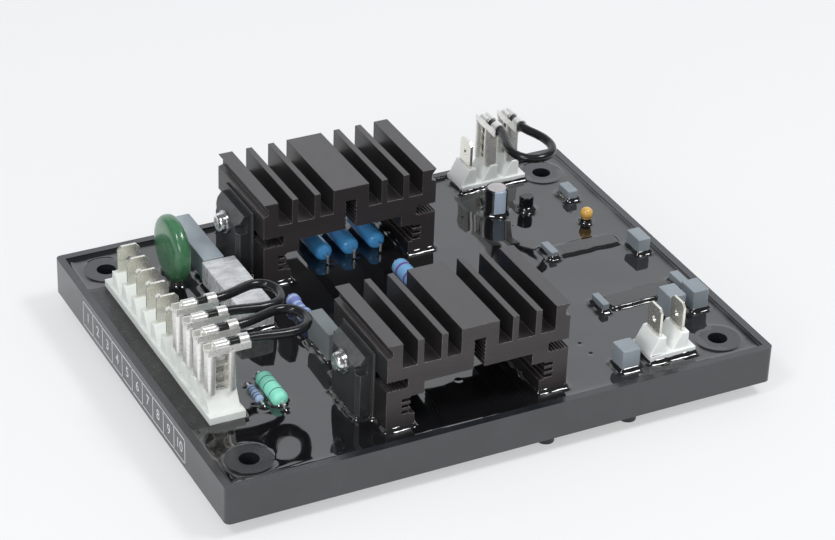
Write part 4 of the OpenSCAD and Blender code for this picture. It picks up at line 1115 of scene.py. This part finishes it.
@dataclass
class BoardParts:
    """The components that stand on the board. Lengths are in millimetres."""

    lead_length: float = 1.975
    disc_rim: float = 7.0
    disc_face: float = 2.4
    disc_steps: int = 48
    coat_apart: float = 3.75
    coat_rise: float = 1.1
    coat_high: float = 2.6
    coat_half: tuple[float, float] = (0.9, 1.9)
    neck_high: float = 1.5
    sleeve: float = 0.2
    sleeve_lip: float = 0.6
    rim_round: float = 0.45
    rim_steps: int = 6
    lip_deep: float = 0.22
    top_deep: float = 0.3
    top_edge: float = 0.5

    def build(self) -> None:
        """Dresses every component."""
        bevelled_copy("mains_capacitor", [Finishes.MAINS_CASE], Corner.MOULDED)
        bevelled_copy("snubber_capacitor", [Finishes.SNUBBER_CASE], Corner.MOULDED)
        for key in "abcdefgh":
            bevelled_copy("film_capacitor_" + key, [Finishes.GREY_CASE], Corner.MOULDED)
        bevelled_copy("fuse_cover", [Finishes.COVER], Corner.MOULDED)
        bevelled_copy("fuse_glass", [Finishes.GLASS], None)
        bevelled_copy("fuse_caps", [Finishes.FUSE_METAL], Corner.STAMPED)
        bevelled_copy("fuse_clips", [Finishes.FUSE_METAL], Corner.CRISP)
        for key in ("left", "middle", "right"):
            self.resistor("power_resistor_" + key, Finishes.BLUE)
        self.resistor("pale_blue_resistor", Finishes.PALE_BLUE)
        self.resistor("violet_resistor", Finishes.VIOLET)
        self.resistor("mint_resistor", Finishes.MINT)
        self.resistor("small_resistor", Finishes.SMALL_BLUE)
        self.electrolytic()
        self.varistor()
        bevelled_copy("transistor", [Finishes.WETTED], Corner.ROUNDED)
        self.bead()
        for node in ("ic_rear", "ic_front"):
            bevelled_copy(node, [Finishes.PACKAGE], None)
        bevelled_copy("circuit_board", [Finishes.BOARD], None)

    def resistor(self, node: str, finish: Finish) -> None:
        """A lacquered body on two tinned leads.

        Args:
            node: The CAD node.
            finish: The body's lacquer.
        """
        low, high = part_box(node)
        end = self.lead_length * MM

        def lead(middle: Vector, normal: Vector) -> int:
            """Faces past the body's ends are lead."""
            return int(middle.y < low.y + end or middle.y > high.y - end)

        bevelled_copy(node, [finish, Finishes.LEAD], None, lead)

    def varistor(self) -> None:
        """A faintly crowned disc under a thick glossy coat, run down over its two leads."""
        low, high = (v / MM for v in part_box("varistor"))
        radius = (high.y - low.y) / 2
        half = (high.x - low.x) / 2
        middle = Vector(((low.x + high.x) / 2, (low.y + high.y) / 2, high.z - radius))
        outline = []
        for step in range(self.disc_steps + 1):
            turn = math.pi * step / self.disc_steps
            along = math.cos(turn)
            reach = radius * math.sin(turn) ** (2 / self.disc_rim)
            outline.append((reach, half * math.copysign(abs(along) ** (2 / self.disc_face), along)))
        bm = turned(outline, 96)
        lean = Matrix.Translation(middle * MM) @ Matrix.Rotation(math.radians(90), 4, "Y")
        bmesh.ops.transform(bm, matrix=lean, verts=bm.verts)
        for side in (-1, 1):
            foot = mm(middle.x, middle.y + side * self.coat_apart, RESIN_LEVEL + self.coat_rise)
            thin, thick = (v * MM for v in self.coat_half)
            bmesh.ops.create_cone(bm, cap_ends=True, segments=20, radius1=thin, radius2=thick,
                                  depth=self.coat_high * MM, matrix=Matrix.Translation(foot))
        bmesh.ops.recalc_face_normals(bm, faces=bm.faces)
        piece = place_mesh("varistor_piece", bm, [Finishes.VARISTOR], UNIT_BODY, smooth=60.0)
        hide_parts("varistor")
        log.info("dressed varistor")

    def bead(self) -> None:
        """An amber bead on a neck that the resin has climbed."""
        neck = (RESIN_LEVEL + self.neck_high) * MM

        def wetted(middle: Vector, normal: Vector) -> int:
            """The neck is under resin."""
            return int(middle.z < neck)

        bevelled_copy("bead_capacitor", [Finishes.AMBER, Finishes.WETTED], None, wetted)

    def electrolytic(self) -> None:
        """A can in a shrunk sleeve that is rolled over the rim of its bare top."""
        low, high = (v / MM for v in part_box("electrolytic_capacitor"))
        radius = (high.x - low.x) / 2 + self.sleeve
        inner = radius - self.sleeve_lip
        top = high.z
        bare_top = top - self.top_deep
        outline = [(0, low.z), (radius, low.z), (radius, top - self.rim_round)]
        for step in range(1, self.rim_steps + 1):
            turn = math.pi / 2 * step / self.rim_steps
            inward = self.rim_round * (1 - math.cos(turn))
            drop = self.rim_round * (1 - math.sin(turn))
            outline.append((radius - inward, top - drop))
        outline += [(inner, top), (inner, top - self.lip_deep)]
        outline += [(inner - self.top_edge, bare_top), (0, bare_top)]
        bm = turned(outline)
        for face in bm.faces:
            middle = face.calc_center_median()
            bare = middle.xy.length < inner * MM and middle.z > (top - self.top_edge) * MM
            face.material_index = int(bare)
        bmesh.ops.translate(bm, vec=mm((low.x + high.x) / 2, (low.y + high.y) / 2, 0), verts=bm.verts)
        piece = place_mesh("electrolytic_capacitor_piece", bm, [Finishes.SLEEVE, Finishes.CAN_TOP], UNIT_BODY)
        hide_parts("electrolytic_capacitor")
        log.info("dressed electrolytic_capacitor")


@dataclass
class Adjusters:
    """The two slotted adjusters and the lamp under the front edge."""

    def build(self) -> None:
        """Dresses bodies, spindles and lamp."""
        for side in ("left", "right"):
            bevelled_copy("trimmer_body_" + side, [Finishes.TRIMMER], Corner.STAMPED)
            bevelled_copy("trimmer_spindle_" + side, [Finishes.SPINDLE], Corner.EXTRUDED,
                          body="adjuster_" + side)
        bevelled_copy("status_led", [Finishes.RED_LENS], None)


def main() -> None:
    """Builds the camera, the wires, the other pieces and the studio."""
    logging.basicConfig(level=logging.INFO)
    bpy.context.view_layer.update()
    StudioCamera().build()
    Jumpers().build()
    Tray().build()
    PottingResin().build()
    HeatSinks().build()
    Terminals().build()
    BoardParts().build()
    Adjusters().build()
    Studio().build()


if __name__ == "__main__":
    main()
